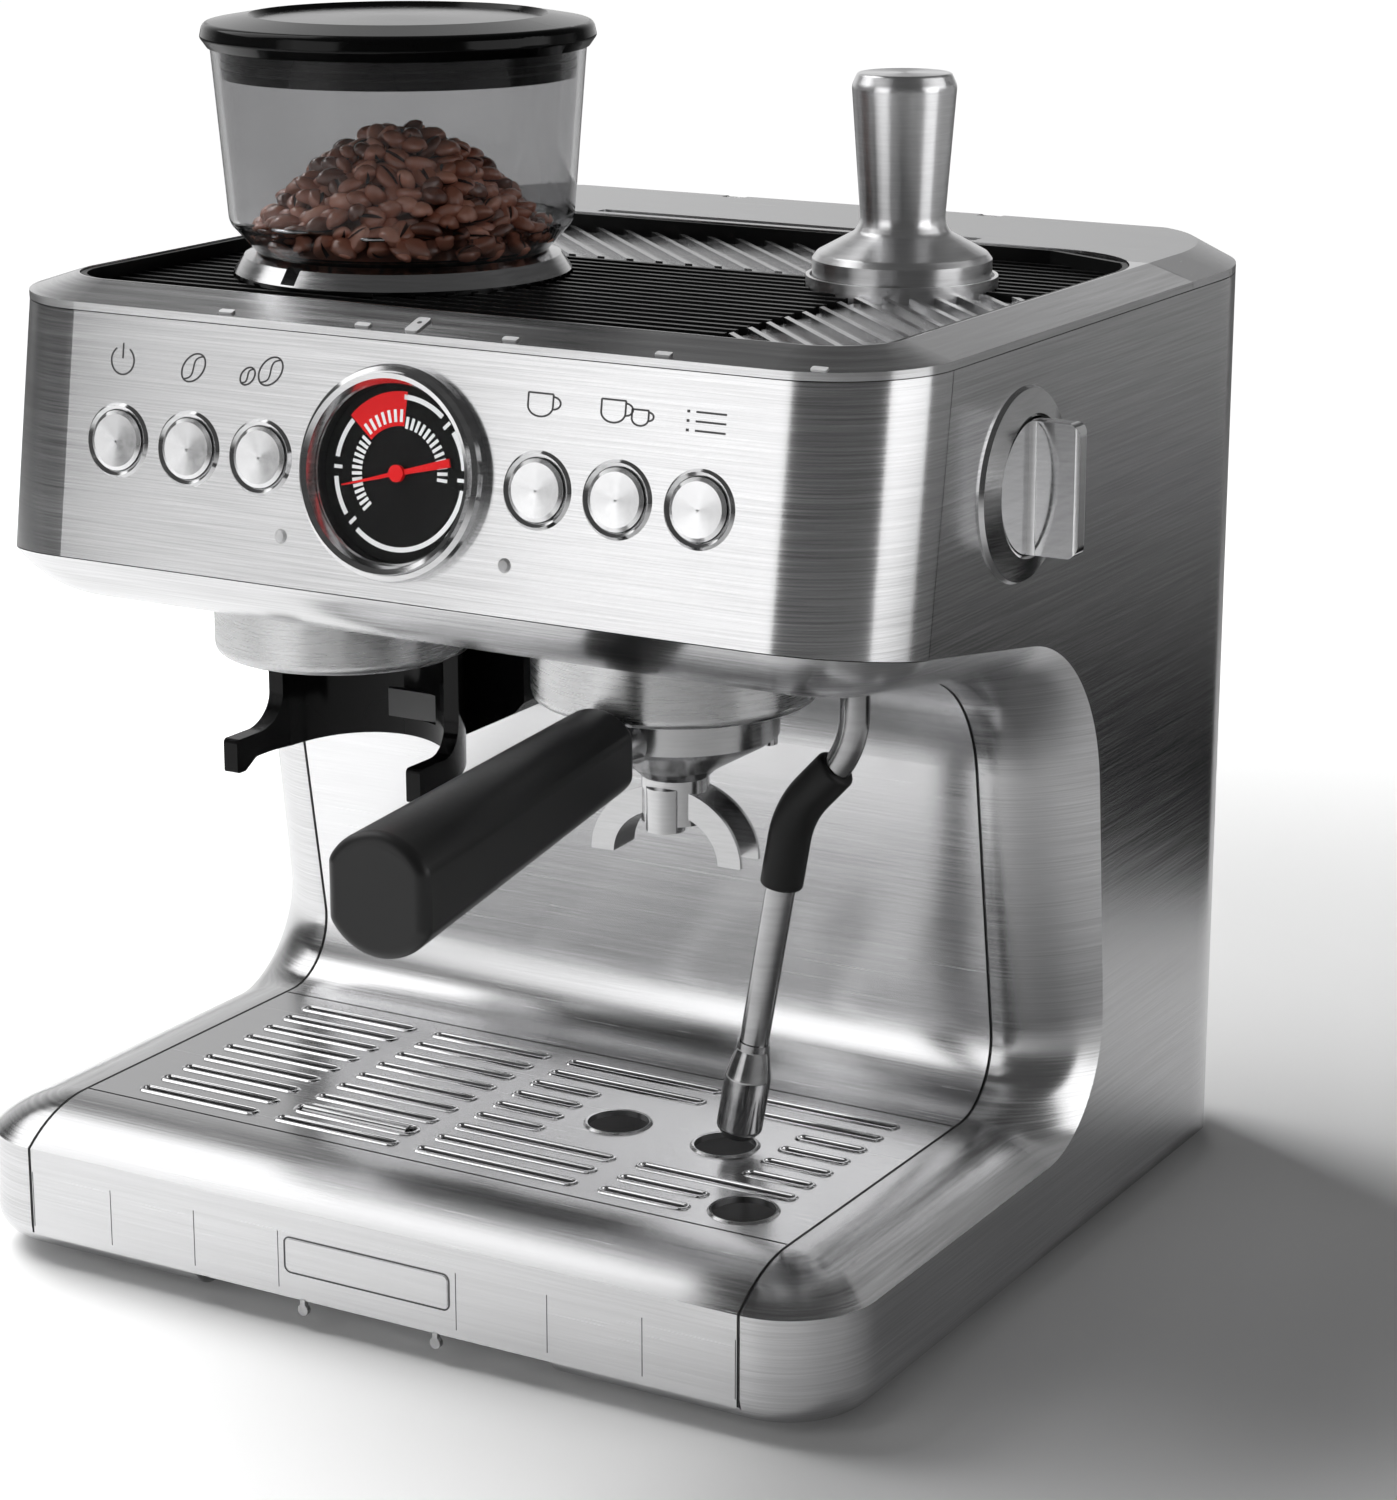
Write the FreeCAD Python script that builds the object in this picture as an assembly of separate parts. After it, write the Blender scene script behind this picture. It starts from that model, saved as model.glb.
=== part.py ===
import FreeCAD, Part
import math
import os
from FreeCAD import Placement, Rotation
from FreeCAD import Vector as V

# Espresso machine with a built-in grinder, in millimetres.
# +Z is up, -Y is the front, the origin is on the table under the middle of the footprint.

# Body
WIDTH = 326.0
DEPTH = 330.0
FOOT_HEIGHT = 4.0
BASE_TOP = 51.0
CREASE_Z = 40.0
BODY_TOP = 311.7
SHEET = 1.5
SEAM = 0.3
CLEAR = 0.3
FIT = 0.05
SHOULDER = 29.5
BOTTOM_ROUND = 10.0
REAR_ROUND = 60.0
PLATE = 2.4
SHELF = 2.5

# Sloped head: its front panel leans back, its underside falls towards the back
HEAD_TILT = 9.0
HEAD_FRONT_Y = -145.0
HEAD_CREASE_Z = 235.2
HEAD_CORNER = 38.0
HEAD_SHOULDER = 14.0

# Side outline of the cup bay: corners of the outer crease and of the inner wall
CREASE_UPPER_Y = 12.5
CREASE_LOWER_Y = 29.6
CREASE_UPPER_R = 64.0
CREASE_LOWER_R = 40.0
WALL_UPPER_Y = -16.3
WALL_LOWER_Y = 7.6
WALL_UPPER_R = 46.0
WALL_LOWER_R = 22.0

# Drip tray
GRATE_FRONT_Y = -133.6
GRATE_BACK_Y = -21.4
GRATE_THICK = 1.5
TRAY_WALL = 2.0
TRAY_FLOOR_Z = 10.6
TRAY_LIP_Z = 10.2
TOE_TOP_Z = 9.7
TOE_INNER_X = 67.0
SLOT_WIDTH = 3.2
SLOT_PITCH = 11.48
SLOT_FIRST_Y = -32.7
SLOT_COLUMNS = ((-116.5, -71.3), (-61.5, -16.0), (-6.8, 51.3), (61.6, 116.8))
SHORT_LEFT_END = 17.6
SHORT_RIGHT_START = 94.0
FRONT_SHORT_END = 91.7
CUP_HOLE_R = 10.0
CUP_HOLES = ((36.6, -73.3), (76.5, -73.3), (108.2, -117.7))
FLOAT_SLOT_WIDTH = 7.0
FLOAT_BAR_R = 2.4

# Controls on the sloped panel, measured up from the crease
CONTROL_V = 38.5
BUTTON_X = (49.96, 77.3, 104.74)
BUTTON_R = 9.4
BUTTON_RING_R = 10.9
BUTTON_TRAVEL = 1.5
GAUGE_R = 32.7
GAUGE_BORE_R = 27.0
LAMP_X = 40.5
LAMP_DROP = 23.2
LAMP_R = 2.2
NEEDLE_ANGLE = 195.0
NEEDLE_REACH = 20.5
NEEDLE_TAIL = 19.0
BOARD_Y = 10.0

# Group, portafilter and grinder outlet
GROUP_X = 55.8
GROUP_Y = -69.0
COLLAR_Z = 196.4
COLLAR_TOP = 224.0
GROUP_COLLAR_R = 45.2
COLLAR_BORE_R = 37.0
COLLAR_LIP_R = 34.0
PORTA_R = 33.0
PORTA_TURN = 2.5
PORTA_RING_Z = 185.0
PORTA_NECK_Z = 172.0
PORTA_NECK_R = 10.8
BASKET_R = 29.0
HANDLE_NECK_Y = -118.0
HANDLE_NECK_Z = 190.0
FERRULE_R = 7.2
HANDLE_END_Y = -246.0
HANDLE_END_Z = 179.6
HANDLE_NECK_R = 14.0
HANDLE_END_R = 18.6
HANDLE_FLAT = 0.88
HANDLE_EASE = 4.5
SPOUT_SPREAD = 26.5
SPOUT_TIP_Z = 144.5
SPOUT_WIDTH = 14.0
SPOUT_BAND = 8.0
GRIND_X = -70.0
GRIND_Y = -69.0
GRIND_COLLAR_R = 42.3
CRADLE_R = 33.8
CRADLE_WALL = 5.5
CRADLE_FOOT_Z = 153.0
CRADLE_FOOT = 10.0
CRADLE_REACH = 15.5
CRADLE_STEM_Y = 9.2
SWITCH_X = 4.5
SWITCH_HALF = 10.0
SWITCH_LOW = 11.4
SWITCH_TALL = 9.6

# Steam wand and knob
WAND_X = 118.7
WAND_Y = -68.0
WAND_TUBE_R = 4.7
WAND_GRIP_R = 6.8
WAND_TIP_R = 7.4
WAND_BEND_Z = 186.8
WAND_BEND_R = 30.0
WAND_ELBOW_X = 98.4
WAND_ELBOW_Z = 164.7
WAND_TIP_X = 80.9
WAND_TIP_Y = -73.0
WAND_TIP_Z = 55.0
KNOB_Y = -46.5
KNOB_Z = 270.0
KNOB_R = 20.6
KNOB_BEZEL_R = 30.0
KNOB_FACE = 3.8
KNOB_BAR = 6.3
KNOB_PROUD = 19.6
KNOB_SLEEVE = 2.3
SHAFT_R = 4.0

# Top deck
FRAME_BAND = 2.5
FRAME_RISE = 7.5
FRAME_WIDTH = 15.5
DECK_Z = BODY_TOP - 2.2
DECK_FLOOR = 2.5
RIB_HEIGHT = 2.8
RIB_WIDTH = 2.0
RIB_PITCH = 7.0
INSERT_PITCH = 11.4
RECESS_BACK_Y = 95.5
CAP_FRONT_Y = 80.5
CAP_THICK = FRAME_RISE
CAP_SLOT_X = 75.0

# Hopper and tamper
HOPPER_X = -71.2
HOPPER_Y = -28.6
HOPPER_RING_R = 55.5
HOPPER_TOP_R = 61.0
HOPPER_TOP_Z = DECK_Z + 78.5
HOPPER_WALL = 2.2
NECK_R = 29.0
LID_OVERHANG = 3.3
LID_RISE = 10.5
LID_SKIRT = 9.0
LID_DISC_R = 47.0
TAMPER_X = 84.1
TAMPER_Y = 27.6
TAMPER_R = 29.0
TAMPER_Z = DECK_Z + 7.3
TAMPER_TOP_R = 17.2
TAMPER_HEIGHT = 65.4
SOCKET_RIM = 1.2

# Water tank and inner works
BULKHEAD_Y = 78.0
TANK_HALF = 98.0
TANK_FLOOR_Z = 100.0
TANK_TOP_Z = BODY_TOP - 7.7
TANK_WALL = 2.5
HINGE_R = 2.0
HINGE_X = 52.0
HINGE_EAR = 8.0
HINGE_PIN = 24.0
REAR_TOP_Z = BODY_TOP - 0.7
BURR_Z = 262.0
BURR_BORE_R = 32.0
MOTOR_Y = 44.0
MOTOR_R = 27.0

HALF = WIDTH / 2
FRONT = -DEPTH / 2
BACK = DEPTH / 2
HINGE_Y = BACK - CAP_THICK / 2
HINGE_Z = BODY_TOP + SEAM + CAP_THICK / 2
INNER = HALF - SHOULDER
CORNER_Y = FRONT + SHOULDER
TILT = math.radians(HEAD_TILT)
HEAD_TOP_Y = HEAD_FRONT_Y + (BODY_TOP - HEAD_CREASE_Z) * math.tan(TILT)
SOCKET_R = TAMPER_R + CLEAR + 0.5
FAR = -300.0
UP = V(0, 0, 1)


def box(x0, x1, y0, y1, z0, z1):
    return Part.makeBox(x1 - x0, y1 - y0, z1 - z0, V(x0, y0, z0))


def rod(x, y, z, radius, height):
    return Part.makeCylinder(radius, height, V(x, y, z))


def rod_x(x, y, z, radius, length):
    return Part.makeCylinder(radius, length, V(x, y, z), V(1, 0, 0))


def rod_y(x, y, z, radius, length):
    return Part.makeCylinder(radius, length, V(x, y, z), V(0, 1, 0))


def corner_arc(before, point, after, radius):
    """Tangent arc that rounds one corner, with its two ends."""
    a = (before - point).normalize()
    b = (after - point).normalize()
    half = a.getAngle(b) / 2
    reach = radius / math.tan(half)
    middle = (a + b).normalize()
    crown = point + middle * (radius / math.sin(half) - radius)
    return point + a * reach, crown, point + b * reach


def rounded_wire(points, radii, closed=True):
    """Lines through the points, with each corner rounded by its own radius."""
    count = len(points)
    edges = []
    last = None
    first = None
    for i, point in enumerate(points):
        inner = closed or 0 < i < count - 1
        if inner and radii[i] > 0:
            start, crown, end = corner_arc(points[i - 1], point, points[(i + 1) % count], radii[i])
        else:
            start, crown, end = point, None, point
        if last is not None and last.distanceToPoint(start) > 1e-6:
            edges.append(Part.LineSegment(last, start).toShape())
        if crown is not None:
            edges.append(Part.Arc(start, crown, end).toShape())
        if first is None:
            first = start
        last = end
    if closed and last.distanceToPoint(first) > 1e-6:
        edges.append(Part.LineSegment(last, first).toShape())
    return Part.Wire(edges)


def prism(points, radii, direction):
    return Part.Face(rounded_wire(points, radii)).extrude(direction)


def round_block(x0, x1, y0, y1, z0, z1, front_r, back_r):
    points = [V(x0, y0, z0), V(x1, y0, z0), V(x1, y1, z0), V(x0, y1, z0)]
    return prism(points, [front_r, front_r, back_r, back_r], V(0, 0, z1 - z0))


def turned(profile, x, y, radii=None):
    """Solid of revolution about a vertical axis from (radius, height) points."""
    points = [V(x + r, y, z) for r, z in profile]
    face = Part.Face(rounded_wire(points, radii or [0] * len(points)))
    return face.revolve(V(x, y, 0), UP, 360)


def pipe(points, radii, radius):
    path = rounded_wire(points, radii, closed=False)
    start = points[0]
    ring = Part.Wire(Part.Circle(start, points[1] - start, radius).toShape())
    return path.makePipeShell([ring], True, False)


def joined(first, *others):
    return first.multiFuse(list(others)).removeSplitter()


def on_head(shape):
    """Move a shape from the head's own frame (Y into the panel, Z up along it) into the machine."""
    place = Placement(V(0, HEAD_FRONT_Y, HEAD_CREASE_Z), Rotation(V(1, 0, 0), -HEAD_TILT))
    shape.Placement = place.multiply(shape.Placement)
    return shape


def head_turned(profile, x, v):
    """Solid of revolution about an axis square to the front panel, from (radius, depth) points."""
    points = [V(x + r, y, v) for r, y in profile]
    return Part.Face(rounded_wire(points, [0] * len(points))).revolve(V(x, 0, v), V(0, 1, 0), 360)


def head_line_z(y):
    """Height of the head's lower crease at a depth."""
    return HEAD_CREASE_Z - (y - HEAD_FRONT_Y) * math.tan(TILT)


# Cup bay: the C-shaped outline of the sides, blended from the crease to the inner wall

def shoulder_share(t):
    """Share of the shoulder's drop that a round shoulder has reached at share t of its width."""
    drop = BASE_TOP - CREASE_Z
    radius = (SHOULDER ** 2 + drop ** 2) / (2 * drop)
    return (math.sqrt(radius ** 2 - (SHOULDER * (1 - t)) ** 2) - (radius - drop)) / drop


def mix(a, b, share):
    return a + (b - a) * share


def bay_corners(share, inset):
    """Upper and lower corner of the bay outline, pushed into the material by inset."""
    upper_y = mix(CREASE_UPPER_Y, WALL_UPPER_Y, share)
    upper_z = head_line_z(upper_y) - mix(0, HEAD_SHOULDER, share) / math.cos(TILT)
    lower_y = mix(CREASE_LOWER_Y, WALL_LOWER_Y, share)
    lower_z = mix(CREASE_Z, BASE_TOP, share)
    lean = math.atan2(lower_y - upper_y, upper_z - lower_z)
    lower = V(0, lower_y + inset * (1 / math.cos(lean) + math.tan(lean)), lower_z - inset)
    half = (math.pi / 2 + TILT + lean) / 2
    along = inset / math.tan(half)
    upper = V(0, upper_y + inset * math.sin(TILT) + along * math.cos(TILT),
              upper_z + inset * math.cos(TILT) - along * math.sin(TILT))
    return upper, lower


def bay_section(x, share, inset):
    """Closed side outline of the open bay at one x."""
    upper, lower = bay_corners(share, inset)
    top = V(0, FAR, upper.z + (upper.y - FAR) * math.tan(TILT))
    low = V(0, FAR, lower.z)
    radii = [0, mix(CREASE_UPPER_R, WALL_UPPER_R, share) + inset,
             mix(CREASE_LOWER_R, WALL_LOWER_R, share) + inset, 0]
    wire = rounded_wire([top, upper, lower, low], radii)
    wire.translate(V(x, 0, 0))
    return wire


def bay_space(inset):
    """Open space of the bay: straight between the inner walls, widening over the shoulder."""
    steps = 4
    wires = []
    for i in range(steps + 1):
        t = i / steps
        wires.append(bay_section(HALF - inset - SHOULDER * t, shoulder_share(t), inset))
    flare = Part.makeLoft(wires, True, False)
    middle = Part.Face(wires[-1]).extrude(V(-SHOULDER * 2, 0, 0))
    return flare, middle


def cheek_block(inset):
    """Right-hand side of the machine as a solid, or its hollow when inset by the sheet."""
    open_by = 40.0 if inset else 0.0
    half = HALF - inset
    back = BACK - inset
    low = FOOT_HEIGHT + inset
    inner = INNER - SHOULDER - open_by
    seam = on_head(Part.makeLine(V(0, HEAD_CORNER + SEAM, -40), V(0, HEAD_CORNER + SEAM, 120)))
    bottom_end, top_end = [v.Point for v in seam.Vertexes]
    lean = (top_end.y - bottom_end.y) / (top_end.z - bottom_end.z)
    top_y = bottom_end.y + lean * (BODY_TOP - bottom_end.z)
    points = [V(inner, CORNER_Y - open_by, low), V(inner, back, low), V(inner, back, BODY_TOP + open_by),
              V(inner, top_y - open_by, BODY_TOP + open_by), V(inner, bottom_end.y - open_by, bottom_end.z),
              V(inner, CORNER_Y - open_by, BASE_TOP + 20)]
    side = prism(points, [0] * 6, V(half - inner, 0, 0))
    section = prism([V(0, FAR, low), V(half, FAR, low), V(half, FAR, 2 * BODY_TOP), V(0, FAR, 2 * BODY_TOP)],
                    [0, BOTTOM_ROUND - inset, 0, 0], V(0, BACK - 2 * FAR, 0))
    plan = prism([V(0, FAR, 0), V(half, FAR, 0), V(half, back, 0), V(0, back, 0)],
                 [0, 0, REAR_ROUND - inset, 0], V(0, 0, 2 * BODY_TOP))
    flare, middle = bay_space(inset)
    return side.common(section).common(plan).cut(flare).cut(middle)


def flat_faces(shape, axis, value):
    """Faces of a shape that lie in the plane axis = value."""
    found = []
    for face in shape.Faces:
        b = face.BoundBox
        low, high = (b.XMin, b.XMax) if axis == "x" else (b.YMin, b.YMax)
        if abs(low - value) < 1e-3 and abs(high - value) < 1e-3:
            found.append(face)
    return found


def side_panel():
    """Pressed sheet side: flat wall, rounded shoulder round the bay, front corner and toe."""
    shell = cheek_block(0).cut(cheek_block(SHEET))
    shell = shell.cut(box(-HALF, INNER, FAR, BACK - REAR_ROUND, -10, 2 * BODY_TOP))
    ends = [f for f in flat_faces(shell, "y", CORNER_Y) if f.BoundBox.ZMax < BASE_TOP + 1]
    corners = [f.revolve(V(INNER, CORNER_Y, 0), UP, -90) for f in ends]
    toes = []
    for corner in corners:
        for face in flat_faces(corner, "x", INNER):
            low = face.common(box(0, HALF, 2 * FRONT, 0, 0, TOE_TOP_Z))
            toes.append(low.extrude(V(TOE_INNER_X - INNER, 0, 0)))
    return joined(shell, *corners, *toes)


def right_side_panel():
    hole = rod_x(INNER, KNOB_Y, KNOB_Z, KNOB_R + KNOB_SLEEVE + CLEAR, 2 * SHOULDER)
    return side_panel().cut(hole)


def left_side_panel():
    return side_panel().mirror(V(0, 0, 0), V(1, 0, 0))


def brew_wall():
    """Back wall of the bay: one bent sheet from the grate up to the head."""
    wall_in, low_in = bay_corners(1, 0)
    wall_out, low_out = bay_corners(1, SHEET)
    reach = WALL_UPPER_R * 0.75
    head = V(0, -math.cos(TILT), math.sin(TILT))
    foot_y = GRATE_BACK_Y + SEAM
    points = [V(0, foot_y, BASE_TOP), low_in, wall_in, wall_in + head * reach,
              wall_out + head * reach, wall_out, low_out, V(0, foot_y, BASE_TOP - SHEET)]
    radii = [0, WALL_LOWER_R, WALL_UPPER_R, 0, 0, WALL_UPPER_R + SHEET, WALL_LOWER_R + SHEET, 0]
    half = INNER - SEAM
    sheet = prism(points, radii, V(2 * half, 0, 0))
    sheet.translate(V(-half, 0, 0))
    return sheet.cut(collar_space(CLEAR))


def collar_space(gap):
    group = rod(GROUP_X, GROUP_Y, COLLAR_Z - 40, GROUP_COLLAR_R + gap, 90)
    return group.fuse(rod(GRIND_X, GRIND_Y, COLLAR_Z - 40, GRIND_COLLAR_R + gap, 90))


# Head

def head_shell(inset, height):
    half = HALF - inset
    return round_block(-half, half, inset, 4 * HEAD_CORNER, 0, height, HEAD_CORNER - inset, 0)


def front_panel():
    """Sloped control panel that wraps both front corners."""
    height = (BODY_TOP - HEAD_CREASE_Z) / math.cos(TILT) + 20
    shell = head_shell(0, height).cut(head_shell(SHEET, height))
    shell = shell.cut(box(-HALF, HALF, HEAD_CORNER, 5 * HEAD_CORNER, -1, height + 1))
    holes = [rod_y(0, -1, CONTROL_V, GAUGE_BORE_R + 2.5 + CLEAR, 4)]
    for side in (-1, 1):
        for x in BUTTON_X:
            holes.append(rod_y(side * x, -1, CONTROL_V, BUTTON_RING_R, 4))
        holes.append(rod_y(side * LAMP_X, -1, CONTROL_V - LAMP_DROP, LAMP_R + FIT, 4))
    shell = on_head(shell.cut(Part.makeCompound(holes)))
    return shell.cut(box(-HALF, HALF, 3 * FRONT, BACK, BODY_TOP, BODY_TOP + 60))


def head_skirt():
    """Rounded lower edge of the head and its flat underside."""
    radius = (SHOULDER ** 2 + HEAD_SHOULDER ** 2) / (2 * HEAD_SHOULDER)
    rise = radius - HEAD_SHOULDER
    thin = radius - SHEET
    inner_start = SHOULDER - math.sqrt(thin ** 2 - rise ** 2)

    def on_arc(r, angle):
        return V(0, SHOULDER - r * math.sin(angle), rise - r * math.cos(angle))

    outer_angle = math.asin(SHOULDER / radius)
    inner_angle = math.asin((SHOULDER - inner_start) / thin)
    edges = [Part.Arc(on_arc(radius, outer_angle), on_arc(radius, outer_angle / 2), on_arc(radius, 0)),
             Part.LineSegment(on_arc(radius, 0), on_arc(thin, 0)),
             Part.Arc(on_arc(thin, 0), on_arc(thin, inner_angle / 2), on_arc(thin, inner_angle)),
             Part.LineSegment(on_arc(thin, inner_angle), on_arc(radius, outer_angle))]
    face = Part.Face(Part.Wire([e.toShape() for e in edges]))
    start = HALF - HEAD_CORNER
    face.translate(V(start, 0, -SEAM))
    front = face.extrude(V(-2 * start, 0, 0))
    corner = face.revolve(V(start, HEAD_CORNER, 0), UP, 90)
    other = corner.mirror(V(0, 0, 0), V(1, 0, 0))
    wall_upper = bay_corners(1, 0)[0]
    depth = (wall_upper.y - HEAD_FRONT_Y) / math.cos(TILT) - WALL_UPPER_R * 0.75 - SEAM
    floor_z = -HEAD_SHOULDER - SEAM
    floor = round_block(-INNER, INNER, SHOULDER, depth, floor_z, floor_z + SHEET, HEAD_CORNER - SHOULDER, 0)
    skirt = on_head(joined(front, corner, other, floor))
    socket = rod(WAND_X, WAND_Y, COLLAR_Z - 40, WAND_TUBE_R + 5, 90)
    return skirt.cut(collar_space(FIT)).cut(socket)


def trim_outline(inset, z):
    """Outline of the top trim at one height: drawn in at the front and sides, flush at the back."""
    half = HALF - inset
    front = HEAD_TOP_Y + inset
    corner = HEAD_CORNER - inset
    start = BACK - REAR_ROUND
    middle = HALF - REAR_ROUND
    near = half - corner
    bow = corner * math.sqrt(0.5)
    edges = []
    for side in (1, -1):
        arc = Part.Arc(V(side * near, front, z), V(side * (near + bow), front + corner - bow, z),
                       V(side * half, front + corner, z))
        centre = V(side * middle, start, z)
        if inset > 0:
            rear = Part.Ellipse(centre + V(0, REAR_ROUND, 0), centre - V(REAR_ROUND - inset, 0, 0), centre)
        else:
            rear = Part.Circle(centre, UP, REAR_ROUND)
            rear.rotate(Placement(centre, Rotation(UP, 90)))
        first, last = (-math.pi / 2, 0) if side > 0 else (0, math.pi / 2)
        flank = Part.LineSegment(V(side * half, front + corner, z), V(side * half, start, z))
        edges.extend([arc.toShape(), flank.toShape(), rear.toShape(first, last)])
    edges.append(Part.LineSegment(V(-near, front, z), V(near, front, z)).toShape())
    edges.append(Part.LineSegment(V(middle, BACK, z), V(-middle, BACK, z)).toShape())
    return Part.Wire(Part.__sortEdges__(edges))


def top_trim():
    """Upright band and bevel of the machine's top, whose bevel runs out at the back."""
    low = BODY_TOP + SEAM
    band = Part.Face(trim_outline(0, low)).extrude(V(0, 0, FRAME_BAND))
    bevel = Part.makeLoft([trim_outline(0, low + FRAME_BAND), trim_outline(FRAME_WIDTH, low + FRAME_RISE)],
                          True, True)
    return joined(band, bevel)


def top_frame():
    """Bevelled trim round the cup deck."""
    behind = box(-2 * HALF, 2 * HALF, CAP_FRONT_Y - SEAM, 2 * BACK, 0, 2 * BODY_TOP)
    return top_trim().cut(deck_recess(0)).cut(behind)


def deck_recess(inset):
    """Space of the cup deck inside the frame and the tank cap."""
    half = HALF - FRAME_WIDTH - 0.5 - inset
    front = HEAD_TOP_Y + FRAME_WIDTH + 0.5 + inset
    return round_block(-half, half, front, RECESS_BACK_Y - inset, DECK_Z, BODY_TOP + 30,
                       HEAD_CORNER - FRAME_WIDTH - inset, HEAD_CORNER - inset)


def tray_space(inset):
    """Space of the cup tray: the deck's recess with its rear corners cut straight beside the tank cap."""
    radius = HEAD_CORNER + SEAM
    centre = V(HALF - FRAME_WIDTH - 0.5 - HEAD_CORNER, RECESS_BACK_Y - HEAD_CORNER, 0)
    rise = CAP_FRONT_Y - centre.y
    tip = V(centre.x + math.sqrt(radius ** 2 - rise ** 2), CAP_FRONT_Y, 0)
    root = V(centre.x - 2, RECESS_BACK_Y + SEAM, 0)
    along = tip - root
    away = box(-HALF, HALF, -inset - 0.5, HALF, 0, 2 * BODY_TOP)
    away.Placement = Placement(root, Rotation(UP, math.degrees(math.atan2(along.y, along.x))))
    return deck_recess(inset).cut(away).cut(away.mirror(V(0, 0, 0), V(1, 0, 0)))


def cup_tray():
    """Dished deck with a rim and raised ribs for warming cups."""
    block = tray_space(CLEAR)
    top = BODY_TOP + SEAM + FRAME_RISE - 0.5
    dish = block.cut(box(-HALF, HALF, FRONT, BACK, top, BODY_TOP + 40))
    hollow = tray_space(CLEAR + TRAY_WALL)
    hollow.translate(V(0, 0, DECK_FLOOR))
    dish = dish.cut(hollow)
    floor = DECK_Z + DECK_FLOOR
    ribs = []
    field = hollow.common(box(-HALF, HALF, FRONT, BACK, floor, floor + RIB_HEIGHT))
    y = hollow.BoundBox.YMin + RIB_PITCH
    while y < hollow.BoundBox.YMax - RIB_WIDTH:
        ribs.append(box(-HALF, HALF, y, y + RIB_WIDTH, floor, floor + RIB_HEIGHT))
        y += RIB_PITCH
    bars = field.common(Part.makeCompound(ribs))
    bars = bars.cut(Part.makeCompound(insert_zones(1.0)))
    tray = joined(dish, *bars.Solids)
    return tray.cut(deck_holes(CLEAR))


def insert_zones(grow):
    """The two bare metal fields of the deck: one along the back, one along the right."""
    hollow = deck_recess(CLEAR + TRAY_WALL + 1.0 - grow).BoundBox
    floor = DECK_Z + DECK_FLOOR
    top = floor + RIB_HEIGHT
    back = box(hollow.XMin + 14, 50 + grow, 32 - grow, hollow.YMax, floor, top)
    right = box(84 - grow, hollow.XMax, hollow.YMin + 9, 20 + grow, floor, top)
    return back, right


def deck_holes(gap):
    hopper = rod(HOPPER_X, HOPPER_Y, DECK_Z - 10, HOPPER_RING_R + gap, 60)
    tamper = rod(TAMPER_X, TAMPER_Y, DECK_Z - 10, SOCKET_R + SOCKET_RIM + gap, 60)
    return hopper.fuse(tamper)


def cup_tray_insert():
    """Steel plates with diagonal ribs that lie in the deck."""
    floor = DECK_Z + DECK_FLOOR
    bars = []
    reach = 400.0
    count = 70
    for i in range(count):
        bar = box(-reach, reach, -RIB_WIDTH / 2, RIB_WIDTH / 2, floor, floor + RIB_HEIGHT)
        bar.rotate(V(0, 0, 0), UP, -45)
        bar.translate(V((i - count / 2) * INSERT_PITCH, 0, 0))
        bars.append(bar)
    bars = Part.makeCompound(bars)
    plates = []
    inside = tray_space(CLEAR + TRAY_WALL + 0.2)
    for zone in insert_zones(0):
        zone = zone.common(inside)
        b = zone.BoundBox
        plate = zone.common(box(b.XMin, b.XMax, b.YMin, b.YMax, floor, floor + 0.8))
        ribs = zone.common(bars)
        plates.append(joined(plate, *ribs.Solids).cut(deck_holes(CLEAR)))
    solids = [s for p in plates for s in p.Solids]
    return Part.makeCompound([s for s in solids if s.Volume > 1000])


# Gauge, buttons and lamps, all square to the sloped panel

def gauge_bezel():
    r = GAUGE_BORE_R
    profile = [(r, -2.2), (r + 1.4, -6.2), (r + 3.0, -7.0), (r + 3.6, -5.4), (GAUGE_R - 0.6, -4.6),
               (GAUGE_R, -3.0), (GAUGE_R, 0), (r + 2.5, 0), (r + 2.5, 8), (r, 8)]
    return on_head(head_turned(profile, 0, CONTROL_V))


def gauge_lens():
    profile = [(0, -3.6), (GAUGE_BORE_R - 0.1, -3.2), (GAUGE_BORE_R - 0.1, -2.2), (0, -2.6)]
    return on_head(head_turned(profile, 0, CONTROL_V))


def gauge_dial():
    r = GAUGE_BORE_R - FIT
    profile = [(1.0 + FIT, 2.0), (r, 2.0), (r, 22), (r - 3, 24), (0, 24), (0, 6), (1.0 + FIT, 6)]
    return on_head(head_turned(profile, 0, CONTROL_V))


def gauge_needle():
    points = [V(NEEDLE_REACH, 0.6, 0.2), V(0, 0.6, 0.7), V(-NEEDLE_TAIL, 0.6, 1.3),
              V(-NEEDLE_TAIL, 0.6, -1.3), V(0, 0.6, -0.7), V(NEEDLE_REACH, 0.6, -0.2)]
    blade = prism(points, [0] * 6, V(0, 0.6, 0))
    hub = rod_y(0, -0.2, 0, 2.6, 1.4)
    pin = rod_y(0, 1.0, 0, 1.0, 4.5)
    needle = joined(blade, hub, pin)
    needle.rotate(V(0, 0, 0), V(0, 1, 0), -NEEDLE_ANGLE)
    needle.translate(V(0, 0, CONTROL_V))
    return on_head(needle)


def button_rings():
    bore = BUTTON_R + CLEAR
    profile = [(bore, -0.4), (BUTTON_RING_R, -1.0), (BUTTON_RING_R + 0.9, 0), (BUTTON_RING_R, 0),
               (BUTTON_RING_R, 6), (bore, 6)]
    rings = []
    for side in (-1, 1):
        for x in BUTTON_X:
            rings.append(on_head(head_turned(profile, side * x, CONTROL_V)))
    return Part.makeCompound(rings)


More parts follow.
